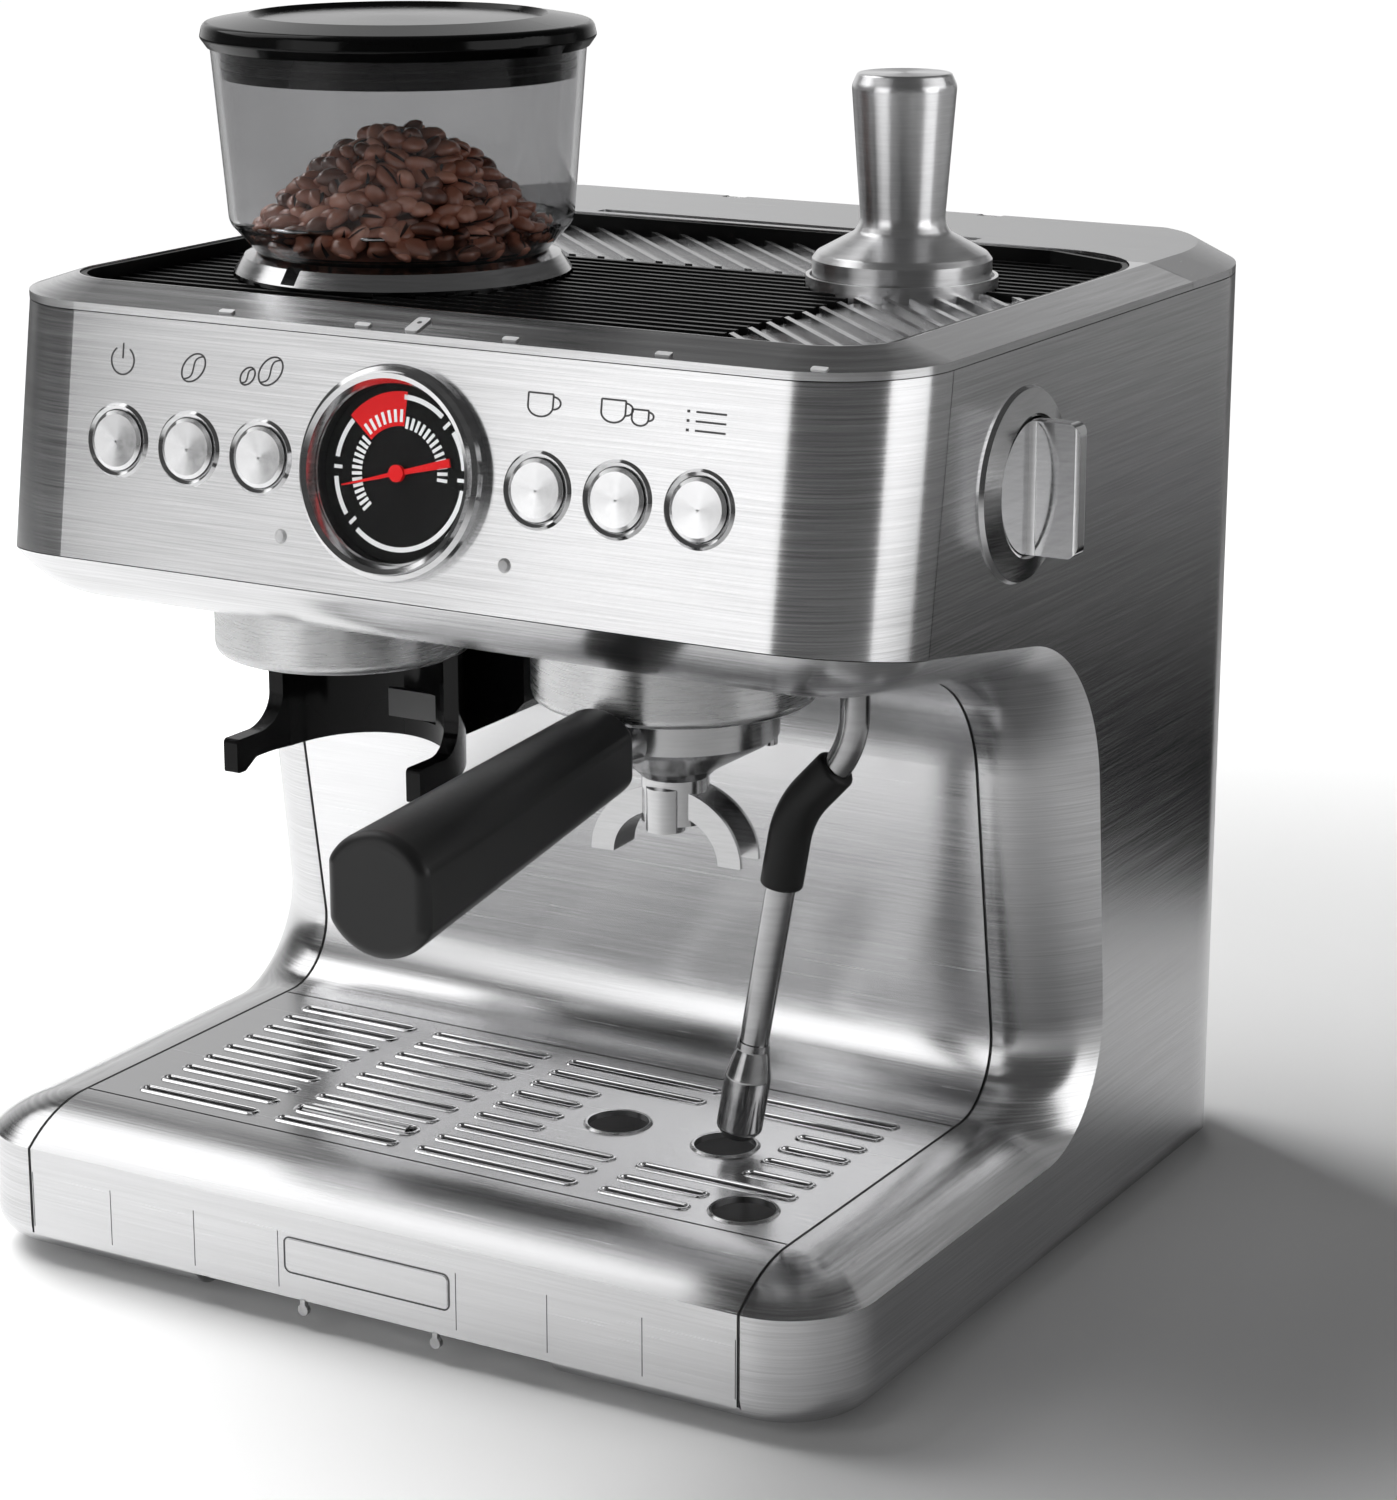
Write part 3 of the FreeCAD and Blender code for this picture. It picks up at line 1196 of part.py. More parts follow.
def tray_float():
    """Float that rises through the wide slot when the tray is full."""
    x0, x1 = SLOT_COLUMNS[1]
    y = SLOT_FIRST_Y - 7 * SLOT_PITCH
    middle = (x0 + x1) / 2
    z = BASE_TOP - GRATE_THICK / 2
    bar = rod_x(x0 + 2.5, y, z, FLOAT_BAR_R, x1 - x0 - 5)
    stem = box(middle - 6, middle + 6, y - 1.5, y + 1.5, TRAY_FLOOR_Z + 20, z)
    low = TRAY_FLOOR_Z + TRAY_WALL + CLEAR
    block = round_block(middle - 17, middle + 17, y - 12, y + 12, low, low + 20, 4, 4)
    return joined(bar, stem, block)


# Chassis, back and water tank

def base_plate():
    """Floor of the machine with runners for the drip tray."""
    low = FOOT_HEIGHT + SHEET
    top = low + PLATE
    half = HALF - BOTTOM_ROUND - 0.5
    plate = round_block(-half, half, CORNER_Y + 4, BACK - 4, low, top, 4, REAR_ROUND - BOTTOM_ROUND)
    parts = []
    for side in (-1, 1):
        x = side * 100
        parts.append(box(x - 4, x + 4, CORNER_Y + 4, GRATE_BACK_Y, top, TRAY_FLOOR_Z - CLEAR))
        parts.append(box(x + side * 30 - 10, x + side * 30 + 10, BULKHEAD_Y - 16, BULKHEAD_Y, top, top + 16))
    return joined(plate, *parts)


def rubber_feet():
    low = FOOT_HEIGHT + SHEET
    feet = []
    for x, y in ((118, -112), (-118, -112), (86, 132), (-86, 132)):
        feet.append(turned([(0, 0), (10, 0), (11.5, 1.5), (11.5, low), (0, low)], x, y))
    return Part.makeCompound(feet)


def bulkhead():
    """Upright inner wall with the shelf that carries the water tank."""
    low = FOOT_HEIGHT + SHEET + PLATE
    half = HALF - SHEET - CLEAR
    wall = prism([V(-half, BULKHEAD_Y, low), V(half, BULKHEAD_Y, low), V(half, BULKHEAD_Y, DECK_Z),
                  V(-half, BULKHEAD_Y, DECK_Z)], [BOTTOM_ROUND, BOTTOM_ROUND, 0, 0], V(0, SHELF, 0))
    shelf_top = TANK_FLOOR_Z - CLEAR
    shelf = box(-TANK_HALF, TANK_HALF, BULKHEAD_Y, BACK - SHEET, shelf_top - SHELF, shelf_top)
    seat = rod(0, (BULKHEAD_Y + BACK) / 2, shelf_top - 14, 12, 14)
    return joined(wall, shelf, seat)


def rear_panel():
    """Flat back with air slots and the round gland for the power lead."""
    half = INNER - SHOULDER - 1.2 - SEAM
    plate = box(-half, half, BACK - SHEET, BACK, FOOT_HEIGHT + SHEET, REAR_TOP_Z)
    slots = []
    for i in range(9):
        x = (i - 4) * 14
        slots.append(box(x - 3, x + 3, BACK - 10, BACK + 10, 34, 74))
    gland = rod_y(80, BACK - 6, 24, 9, 8)
    hole = rod_y(80, BACK - 10, 24, 4, 20)
    return joined(plate.cut(Part.makeCompound(slots)), gland).cut(hole)


def water_tank():
    """Open clear tank with hinge ears for its lid."""
    y0 = RECESS_BACK_Y + 1.5
    y1 = BACK - SHEET - 1.5
    t = TANK_WALL
    outer = round_block(-TANK_HALF, TANK_HALF, y0, y1, TANK_FLOOR_Z, TANK_TOP_Z, 10, 10)
    half = TANK_HALF - t
    hollow = round_block(-half, half, y0 + t, y1 - t, TANK_FLOOR_Z + t, TANK_TOP_Z + 10, 8, 8)
    parts = []
    for side in (-1, 1):
        x = side * HINGE_X - HINGE_EAR / 2
        ear = box(x, x + HINGE_EAR, HINGE_Y - CAP_THICK / 2 + CLEAR, y1, TANK_TOP_Z - 12, HINGE_Z)
        knuckle = rod_x(x, HINGE_Y, HINGE_Z, CAP_THICK / 2 - CLEAR, HINGE_EAR)
        pin = rod_x(side * HINGE_X - HINGE_PIN / 2, HINGE_Y, HINGE_Z, HINGE_R, HINGE_PIN)
        parts.extend([ear, knuckle, pin])
    return joined(outer.cut(hollow), *parts)


def tank_lid():
    """Bevelled cap over the tank with a finger slot along its front edge and a half-round hinge edge."""
    low = BODY_TOP + SEAM
    top = low + CAP_THICK
    cap = top_trim().common(box(-2 * HALF, 2 * HALF, CAP_FRONT_Y, 2 * BACK, 0, 2 * BODY_TOP))
    cap = cap.cut(deck_recess(-SEAM))
    slot_y = RECESS_BACK_Y + 4
    cap = cap.cut(round_block(-CAP_SLOT_X, CAP_SLOT_X, slot_y, slot_y + 6, top - 5, top + 1, 1, 1))
    edge = box(-HALF, HALF, HINGE_Y, BACK + 1, low - 1, top + 1)
    cap = cap.cut(edge.cut(rod_x(-HALF, HINGE_Y, HINGE_Z, CAP_THICK / 2, WIDTH)))
    ear = HINGE_EAR / 2 + CLEAR
    reach = HINGE_PIN + 2 * CLEAR
    for side in (-1, 1):
        x = side * HINGE_X
        cap = cap.cut(box(x - ear, x + ear, HINGE_Y - CAP_THICK / 2 - CLEAR, BACK + 1, low - 1, top + 1))
        cap = cap.cut(rod_x(x - reach / 2, HINGE_Y, HINGE_Z, HINGE_R + FIT, reach))
    return cap


# Hot water works inside the body

def thermoblock():
    """Cast heater on top of the group, with cooling ribs and its two pipe stubs."""
    low = COLLAR_TOP + 6
    body = round_block(GROUP_X - 42, GROUP_X + 34, GROUP_Y - 30, GROUP_Y + 40, low, low + 34, 8, 8)
    ribs = [box(GROUP_X - 36 + i * 14, GROUP_X - 32 + i * 14, GROUP_Y - 26, GROUP_Y + 36, low + 34, low + 40)
            for i in range(5)]
    stubs = [rod(GROUP_X - 27 + i * 28, GROUP_Y + 32, low + 34, 4, 14) for i in (0, 1)]
    return joined(body, *ribs, *stubs)


def water_pump():
    """Vibration pump: coil block between two end plugs on a foot."""
    base = FOOT_HEIGHT + SHEET + PLATE
    y = 50
    z = base + 26
    coil = round_block(48, 88, y - 20, y + 20, z - 20, z + 20, 3, 3)
    plug = rod_x(23, y, z, 12, 90)
    nozzle = rod_x(10, y, z, 5, 116)
    foot = box(44, 92, y - 22, y + 22, base, base + 6)
    return joined(coil, plug, nozzle, foot)


BUTTON_NAMES = (("power_button", -BUTTON_X[2]), ("single_grind_button", -BUTTON_X[1]),
                ("double_grind_button", -BUTTON_X[0]), ("single_cup_button", BUTTON_X[0]),
                ("double_cup_button", BUTTON_X[1]), ("menu_button", BUTTON_X[2]))

MAKERS = (base_plate, rubber_feet, left_side_panel, right_side_panel, front_panel, head_skirt, brew_wall,
          rear_panel, bulkhead, top_frame, cup_tray, cup_tray_insert, gauge_bezel, gauge_dial, gauge_lens,
          gauge_needle, button_rings, indicator_lights, control_board, group_head, group_collar,
          group_gasket, shower_screen, portafilter_body, filter_basket, portafilter_handle,
          portafilter_spout, grinder_collar, grinder_cradle, grind_switch, grinder_body, grinder_motor,
          lower_burr, upper_burr, hopper_bowl,
          hopper_ring, hopper_lid, tamper, tamper_socket, wand_socket, steam_tube, steam_grip, steam_tip,
          knob_bezel, steam_knob, steam_valve, thermoblock, water_pump, drip_tray_basin, drip_tray_front,
          drip_grate, tray_float, water_tank, tank_lid)


def main():
    os.makedirs("parts", exist_ok=True)
    shapes = {maker.__name__: maker() for maker in MAKERS}
    for name, x in BUTTON_NAMES:
        shapes[name] = push_button(x)
    for name, shape in shapes.items():
        shape.exportStep("parts/" + name + ".step")
        print(name, "solids", len(shape.Solids), "valid", shape.isValid(), "volume", round(shape.Volume))


main()
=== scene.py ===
import math
import random

import bpy
from mathutils import Matrix, Vector


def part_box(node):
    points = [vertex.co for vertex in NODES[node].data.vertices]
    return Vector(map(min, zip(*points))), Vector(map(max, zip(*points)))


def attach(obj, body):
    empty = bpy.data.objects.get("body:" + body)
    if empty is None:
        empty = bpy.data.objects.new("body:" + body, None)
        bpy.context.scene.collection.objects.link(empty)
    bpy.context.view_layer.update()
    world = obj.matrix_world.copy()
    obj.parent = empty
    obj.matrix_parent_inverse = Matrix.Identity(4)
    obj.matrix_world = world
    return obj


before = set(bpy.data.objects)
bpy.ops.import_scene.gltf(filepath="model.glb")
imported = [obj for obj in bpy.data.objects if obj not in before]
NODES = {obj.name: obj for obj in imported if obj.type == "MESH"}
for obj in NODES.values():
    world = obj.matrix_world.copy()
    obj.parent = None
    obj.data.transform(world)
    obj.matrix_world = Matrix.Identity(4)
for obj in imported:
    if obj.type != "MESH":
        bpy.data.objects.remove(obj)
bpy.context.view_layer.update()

MM = 0.001
RIGHT = Vector((1, 0, 0))
UP = Vector((0, 0, 1))


# Places on the object in millimetres, read from the frame where its boxes give them

X, Y, Z = 0, 1, 2
LOW, HIGH = 0, 1


def edge_of(node, axis, end):
    """Lower or upper end of a node along an axis."""
    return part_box(node)[end][axis] / MM


HEAD_TILT = math.radians(9)
PRESS = Vector((0, math.cos(HEAD_TILT), -math.sin(HEAD_TILT)))
PANEL_Y = edge_of("front_panel", Y, LOW)
PANEL_Z = 235.2
GAUGE = (0.0, 38.5)
DIAL_LIFT = -2.0
TRAY_FRONT_Y = edge_of("drip_tray_front", Y, LOW)
TRAY_TOP_Z = edge_of("drip_tray_front", Z, HIGH)
TRAY_EDGE_X = edge_of("drip_tray_front", X, HIGH)
TRAY_CREASE_Z = 40.0
GRATE_FRONT_Y = edge_of("drip_grate", Y, LOW)
GRATE_BACK_Y = edge_of("drip_grate", Y, HIGH)
BEVEL_Y = -132.88
BEVEL_Z = 314.5
BEVEL_SLOPE = math.atan2(5.0, 15.5)
BACK_Y = 165.0
HOPPER = (-71.2, -28.6)


# Materials

NOISE_SPAN = (0.25, 0.75)
TONE_SPAN = (0.28, 0.72)
RELIEF_DEPTH = 0.0002
QUARTER_TURN = 0.25
CLOUDS_PER_METRE = 25.0
GLASS_CLOUDS_PER_METRE = 18.0


def new_material(name):
    material = bpy.data.materials.new(name)
    material.use_nodes = True
    return material, material.node_tree, material.node_tree.nodes["Principled BSDF"]


def object_noise(tree, stretch, detail=3.0):
    """Noise in the object's own metres; stretch gives waves per metre along x, y and z."""
    coords = tree.nodes.new("ShaderNodeTexCoord")
    mapping = tree.nodes.new("ShaderNodeMapping")
    mapping.inputs["Scale"].default_value = stretch
    noise = tree.nodes.new("ShaderNodeTexNoise")
    noise.inputs["Scale"].default_value = 1.0
    noise.inputs["Detail"].default_value = detail
    tree.links.new(coords.outputs["Object"], mapping.inputs["Vector"])
    tree.links.new(mapping.outputs["Vector"], noise.inputs["Vector"])
    return noise.outputs["Fac"]


def spread(tree, value, low, high):
    """Map noise to a number between low and high."""
    node = tree.nodes.new("ShaderNodeMapRange")
    node.inputs["From Min"].default_value = NOISE_SPAN[0]
    node.inputs["From Max"].default_value = NOISE_SPAN[1]
    node.inputs["To Min"].default_value = low
    node.inputs["To Max"].default_value = high
    tree.links.new(value, node.inputs["Value"])
    return node.outputs["Result"]


def ramp_between(tree, value, stops, colours):
    """Colour ramp between two stops."""
    ramp = tree.nodes.new("ShaderNodeValToRGB")
    for element, stop, colour in zip(ramp.color_ramp.elements, stops, colours):
        element.position = stop
        element.color = (*colour, 1)
    tree.links.new(value, ramp.inputs["Fac"])
    return ramp.outputs["Color"]


def bump(tree, shader, height, strength):
    node = tree.nodes.new("ShaderNodeBump")
    node.inputs["Strength"].default_value = strength
    node.inputs["Distance"].default_value = RELIEF_DEPTH
    tree.links.new(height, node.inputs["Height"])
    tree.links.new(node.outputs["Normal"], shader.inputs["Normal"])


def grain_tangent(tree, shader, anisotropic, along=None, centre=None, axis=None):
    """Stretch the gloss across the grain, which runs along a line or round an axis."""
    shader.inputs["Anisotropic"].default_value = anisotropic
    shader.inputs["Anisotropic Rotation"].default_value = QUARTER_TURN
    if centre is None:
        line = tree.nodes.new("ShaderNodeCombineXYZ")
        for socket, value in zip(line.inputs, along):
            socket.default_value = value
        tree.links.new(line.outputs[0], shader.inputs["Tangent"])
        return
    coords = tree.nodes.new("ShaderNodeTexCoord")
    arm = tree.nodes.new("ShaderNodeVectorMath")
    arm.operation = "SUBTRACT"
    arm.inputs[1].default_value = centre
    turn = tree.nodes.new("ShaderNodeVectorMath")
    turn.operation = "CROSS_PRODUCT"
    turn.inputs[1].default_value = axis
    tree.links.new(coords.outputs["Object"], arm.inputs[0])
    tree.links.new(arm.outputs[0], turn.inputs[0])
    tree.links.new(turn.outputs[0], shader.inputs["Tangent"])


def metal(name, dark, light, rough, stretch, relief, anisotropic=0.0, **grain_line):
    """Metal with a grain: colour, roughness and relief follow the same stretched noise."""
    material, tree, shader = new_material(name)
    grain = object_noise(tree, stretch)
    shader.inputs["Metallic"].default_value = 1.0
    if grain_line:
        grain_tangent(tree, shader, anisotropic, **grain_line)
    tree.links.new(ramp_between(tree, grain, TONE_SPAN, (dark, light)), shader.inputs["Base Color"])
    tree.links.new(spread(tree, grain, *rough), shader.inputs["Roughness"])
    bump(tree, shader, grain, relief)
    return material


def moulded(name, dark, light, rough, grain_per_metre, relief, shine=0.5):
    """Moulded plastic, rubber, paint or print with a fine even texture."""
    material, tree, shader = new_material(name)
    grain = object_noise(tree, (grain_per_metre,) * 3, 4.0)
    cloud = object_noise(tree, (CLOUDS_PER_METRE,) * 3, 2.0)
    tree.links.new(ramp_between(tree, cloud, TONE_SPAN, (dark, light)), shader.inputs["Base Color"])
    tree.links.new(spread(tree, cloud, *rough), shader.inputs["Roughness"])
    shader.inputs["Specular IOR Level"].default_value = shine
    bump(tree, shader, grain, relief)
    return material


def clear(name, dark, light, rough, bend):
    """Tinted clear plastic or glass with faint unevenness."""
    material, tree, shader = new_material(name)
    cloud = object_noise(tree, (GLASS_CLOUDS_PER_METRE,) * 3, 2.0)
    tree.links.new(ramp_between(tree, cloud, TONE_SPAN, (dark, light)), shader.inputs["Base Color"])
    tree.links.new(spread(tree, cloud, *rough), shader.inputs["Roughness"])
    shader.inputs["Transmission Weight"].default_value = 1.0
    shader.inputs["IOR"].default_value = bend
    return material


def tones(low, high):
    """Two greys with a trace of blue."""
    return (low, low, low * 1.01), (high, high, high * 1.01)


def about(node):
    """Middle of a node's box in metres."""
    low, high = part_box(node)
    return (Vector(low) + Vector(high)) / 2


LEVEL_GRAIN = (20, 20, 1900)
ACROSS_GRAIN = (20, 1900, 1900)
TURNED_GRAIN = (90, 90, 1500)
POLISHED_GRAIN = (60, 60, 400)
KNOB_GRAIN = (40, 40, 900)


def wall_metal(name, low, high, rough, relief, anisotropic):
    """Brushed sheet with level lines on every upright wall."""
    return metal(name, *tones(low, high), rough, LEVEL_GRAIN, relief, anisotropic,
                 centre=(0, 0, 0), axis=UP)


def flat_metal(name, low, high):
    """Brushed sheet with its lines from left to right."""
    return metal(name, *tones(low, high), (0.20, 0.28), ACROSS_GRAIN, 0.010, 0.75, along=RIGHT)


def round_metal(name, node, low, high, rough, anisotropic=0.7, axis=UP):
    """Turned or polished metal with its grain round the node's own axis."""
    return metal(name, *tones(low, high), rough, TURNED_GRAIN, 0.02, anisotropic,
                 centre=about(node), axis=axis)


def polished(name, low, high, rough, stretch=POLISHED_GRAIN):
    return metal(name, *tones(low, high), rough, stretch, 0.01)


def bean_material(name, dark, light):
    """Oily bean skin."""
    return moulded(name, dark, light, (0.16, 0.26), 900, 0.15, shine=1.0)


wall_steel = wall_metal("wall_steel", 0.53, 0.73, (0.18, 0.27), 0.014, 0.8)
flat_steel = flat_metal("flat_steel", 0.60, 0.70)
# Painted light: a paler copy of flat_steel for the bay wall, so that the wall renders brighter.
bay_steel_painted_light = flat_metal("bay_steel_painted_light", 0.72, 0.82)
collar_steel = round_metal("collar_steel", "group_collar", 0.48, 0.58, (0.24, 0.32))
outlet_steel = round_metal("outlet_steel", "grinder_collar", 0.48, 0.58, (0.24, 0.32))
# Painted light: paler than the other turned steel, so that the tamper renders bright.
tamper_steel_painted_light = round_metal("tamper_steel_painted_light", "tamper", 0.80, 0.90, (0.28, 0.36), 0.8)
porta_steel = round_metal("porta_steel", "group_collar", 0.46, 0.54, (0.18, 0.26), 0.5)
ring_steel = round_metal("ring_steel", "hopper_ring", 0.52, 0.62, (0.14, 0.22), 0.5)
bezel_chrome = round_metal("bezel_chrome", "gauge_bezel", 0.55, 0.65, (0.10, 0.16), 0.4, PRESS)
cone_chrome = round_metal("cone_chrome", "knob_bezel", 0.52, 0.60, (0.14, 0.2), 0.4, RIGHT)
# Painted highlight: far paler than the other chrome, so that the knob renders bright.
knob_chrome_painted_highlight = polished("knob_chrome_painted_highlight", 0.84, 0.92, (0.06, 0.12), KNOB_GRAIN)
chrome = polished("chrome", 0.52, 0.60, (0.12, 0.18))
# Painted shade: a darker copy of the chrome, so that the steam wand renders dark.
wand_steel_painted_shade = polished("wand_steel_painted_shade", 0.30, 0.38, (0.14, 0.20))
# Painted highlight: paler than the grate's steel, so that the slot lips show as bright lines.
rim_steel_painted_highlight = polished("rim_steel_painted_highlight", 0.72, 0.80, (0.12, 0.18))
satin_metal = metal("satin_metal", *tones(0.42, 0.55), (0.32, 0.45), (300, 300, 300), 0.08)
cast_metal = metal("cast_metal", *tones(0.36, 0.48), (0.42, 0.6), (500, 500, 500), 0.25)
brass = metal("brass", (0.55, 0.40, 0.18), (0.68, 0.52, 0.26), (0.2, 0.35), (200, 200, 200), 0.08)
painted = moulded("painted_iron", *tones(0.035, 0.05), (0.4, 0.5), 900, 0.12)
black_plastic = moulded("black_plastic", *tones(0.006, 0.010), (0.30, 0.40), 1800, 0.08, shine=0.2)
handle_plastic = moulded("handle_plastic", *tones(0.014, 0.019), (0.34, 0.42), 2500, 0.05, shine=0.32)
gloss_black = moulded("gloss_black", *tones(0.003, 0.005), (0.10, 0.16), 600, 0.01, shine=0.14)
rubber = moulded("black_rubber", *tones(0.008, 0.012), (0.42, 0.52), 2200, 0.1, shine=0.25)
basin_grey = moulded("basin_grey", *tones(0.55, 0.62), (0.35, 0.45), 1500, 0.08)
grey_plastic = moulded("grey_plastic", *tones(0.06, 0.08), (0.35, 0.45), 1500, 0.08)
dial_black = moulded("dial_black", *tones(0.005, 0.008), (0.5, 0.6), 2600, 0.05, shine=0.06)
red_paint = moulded("red_paint", (0.62, 0.008, 0.010), (0.70, 0.014, 0.016), (0.4, 0.5), 2000, 0.04,
                    shine=0.1)
white_print = moulded("white_print", *tones(0.76, 0.84), (0.4, 0.5), 2000, 0.04)
dark_print = moulded("dark_print", *tones(0.05, 0.08), (0.4, 0.5), 2000, 0.04)
tab_grey = moulded("tab_grey", *tones(0.52, 0.62), (0.3, 0.4), 900, 0.03)
lamp_white = moulded("lamp_white", *tones(0.66, 0.76), (0.2, 0.3), 900, 0.03)
board_green = moulded("board_green", (0.012, 0.085, 0.03), (0.02, 0.12, 0.045), (0.3, 0.45), 700, 0.06)
bean_brown = bean_material("bean_brown", (0.42, 0.172, 0.112), (0.60, 0.245, 0.160))
bean_light = bean_material("bean_light", (0.66, 0.292, 0.200), (0.82, 0.392, 0.276))
bean_dark = bean_material("bean_dark", (0.15, 0.058, 0.038), (0.28, 0.110, 0.072))
# Painted shade: near-black colour on the beans' groove faces, where shade falls in the crease.
bean_groove_shade = moulded("bean_groove_shade", (0.035, 0.013, 0.009), (0.055, 0.020, 0.014), (0.5, 0.6), 900, 0.15)
smoke = clear("smoke_clear", *tones(0.45, 0.50), (0.02, 0.05), 1.22)
lens_clear = clear("lens_clear", (0.96, 0.97, 0.97), (0.98, 0.98, 0.98), (0.0, 0.02), 1.06)

LOOKS = {
    wall_steel: ("left_side_panel", "right_side_panel", "front_panel", "head_skirt", "rear_panel",
                 "top_frame"),
    flat_steel: ("drip_grate", "tank_lid", "cup_tray_insert", "drip_tray_front"),
    bay_steel_painted_light: ("brew_wall",),
    collar_steel: ("group_collar",),
    outlet_steel: ("grinder_collar",),
    tamper_steel_painted_light: ("tamper", "tamper_socket"),
    porta_steel: ("portafilter_body", "portafilter_spout", "filter_basket", "shower_screen"),
    ring_steel: ("hopper_ring", "upper_burr", "lower_burr"),
    bezel_chrome: ("gauge_bezel", "button_rings"),
    knob_chrome_painted_highlight: ("steam_knob",),
    cone_chrome: ("knob_bezel",),
    chrome: ("wand_socket", "tray_float"),
    wand_steel_painted_shade: ("steam_tube", "steam_tip"),
    cast_metal: ("group_head", "grinder_body", "thermoblock"),
    brass: ("steam_valve",),
    painted: ("base_plate", "bulkhead", "grinder_motor", "water_pump"),
    black_plastic: ("cup_tray",),
    basin_grey: ("drip_tray_basin",),
    handle_plastic: ("portafilter_handle",),
    gloss_black: ("grinder_cradle", "hopper_lid"),
    rubber: ("rubber_feet", "group_gasket", "steam_grip"),
    grey_plastic: ("grind_switch",),
    dial_black: ("gauge_dial",),
    red_paint: ("gauge_needle",),
    lamp_white: ("indicator_lights",),
    board_green: ("control_board",),
    smoke: ("hopper_bowl", "water_tank"),
    lens_clear: ("gauge_lens",),
}


def dress(node, material):
    mesh = NODES[node].data
    mesh.materials.clear()
    mesh.materials.append(material)


def dress_buttons():
    """Spun caps: each button has its grain round its own middle."""
    for node in NODES:
        if node.endswith("_button"):
            spun = metal("spun_" + node, *tones(0.68, 0.76), (0.20, 0.25), (400, 400, 400), 0.003, 0.96,
                         centre=about(node), axis=PRESS)
            dress(node, spun)


for material, names in LOOKS.items():
    for node in names:
        dress(node, material)
dress_buttons()


# Mesh helpers, in millimetres

def add_piece(name, verts, faces, material, body, smooth=False):
    """Make a mesh object from points in millimetres and let it ride on a body."""
    mesh = bpy.data.meshes.new(name)
    mesh.from_pydata([Vector(v) * MM for v in verts], [], faces)
    mesh.update()
    for face in mesh.polygons:
        face.use_smooth = smooth
    mesh.materials.append(material)
    piece = bpy.data.objects.new(name, mesh)
    bpy.context.scene.collection.objects.link(piece)
    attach(piece, body)
    return piece


def joined(parts):
    """One mesh from several pairs of points and faces."""
    verts = []
    faces = []
    for part_verts, part_faces in parts:
        start = len(verts)
        verts.extend(part_verts)
        faces.extend([[start + i for i in face] for face in part_faces])
    return verts, faces


def slab(flats, place, low, high):
    """Thin solid from flat outlines; place turns (u, v, height) into a point."""
    verts = []
    faces = []
    for outline in flats:
        start = len(verts)
        count = len(outline)
        verts.extend(place(u, v, low) for u, v in outline)
        verts.extend(place(u, v, high) for u, v in outline)
        faces.append([start + count + i for i in range(count)])
        faces.append([start + count - 1 - i for i in range(count)])
        for i in range(count):
            j = (i + 1) % count
            faces.append([start + i, start + j, start + count + j, start + count + i])
    return verts, faces


def ribbon(points, width, closed=False):
    """Quads along a line of points."""
    count = len(points)
    sides = []
    for i, point in enumerate(points):
        before = points[i - 1] if closed or i else point
        after = points[(i + 1) % count] if closed or i < count - 1 else point
        run = (Vector(after) - Vector(before)).normalized()
        across = Vector((-run.y, run.x)) * width / 2
        sides.append((Vector(point) + across, Vector(point) - across))
    pairs = [(i, (i + 1) % count) for i in range(count if closed else count - 1)]
    return [[sides[i][1], sides[j][1], sides[j][0], sides[i][0]] for i, j in pairs]


def arc(cx, cy, rx, ry, start, end, turn=0.0, steps=24):
    """Points of an ellipse from start to end, in degrees from the u axis."""
    points = []
    t = math.radians(turn)
    for i in range(steps + 1):
        a = math.radians(start + (end - start) * i / steps)
        u = rx * math.cos(a)
        v = ry * math.sin(a)
        points.append((cx + u * math.cos(t) - v * math.sin(t), cy + u * math.sin(t) + v * math.cos(t)))
    return points


def rounded_outline(x0, x1, z0, z1, radius):
    """Rectangle with round corners."""
    points = []
    for cx, cz, start in ((x1 - radius, z1 - radius, 0), (x0 + radius, z1 - radius, 90),
                          (x0 + radius, z0 + radius, 180), (x1 - radius, z0 + radius, 270)):
        points += arc(cx, cz, radius, radius, start, start + 90, steps=6)
    return points


def lathe(profile, x, y, sides):
    """Closed turned shape about a vertical axis from (radius, height) points."""
    verts = []
    faces = []
    count = len(profile)
    for j in range(sides):
        a = 2 * math.pi * j / sides
        verts.extend((x + r * math.cos(a), y + r * math.sin(a), z) for r, z in profile)
    for j in range(sides):
        k = (j + 1) % sides
        for i in range(count):
            n = (i + 1) % count
            faces.append([j * count + i, k * count + i, k * count + n, j * count + n])
    return verts, faces


def on_panel(x, v, lift):
    """Point on the sloped front panel: x across, v up from its lower crease, lift out of it."""
    return (x, PANEL_Y + v * math.sin(HEAD_TILT) - lift * math.cos(HEAD_TILT),
            PANEL_Z + v * math.cos(HEAD_TILT) + lift * math.sin(HEAD_TILT))


def on_bevel(x, along, lift):
    """Point on the front bevel of the top frame; along runs up the slope."""
    return (x, BEVEL_Y + along * math.cos(BEVEL_SLOPE) - lift * math.sin(BEVEL_SLOPE),
            BEVEL_Z + along * math.sin(BEVEL_SLOPE) + lift * math.cos(BEVEL_SLOPE))


def on_tray_front(x, z, lift):
    return (x, TRAY_FRONT_Y - lift, z)


def on_grate(x, y, lift):
    return (x, y, TRAY_TOP_Z + lift)


# Print on the gauge and the panel

def clock_ring(r0, r1, hour0, hour1):
    """Ring sector of the gauge between two hours of a clock face, as quads."""
    steps = max(1, int(abs(hour1 - hour0) * 6))
    quads = []
    for i in range(steps):
        corners = []
        for radius, k in ((r1, i), (r1, i + 1), (r0, i + 1), (r0, i)):
            a = math.radians(30 * (hour0 + (hour1 - hour0) * k / steps))
            corners.append((GAUGE[0] + radius * math.sin(a), GAUGE[1] + radius * math.cos(a)))
        quads.append(corners)
    return quads


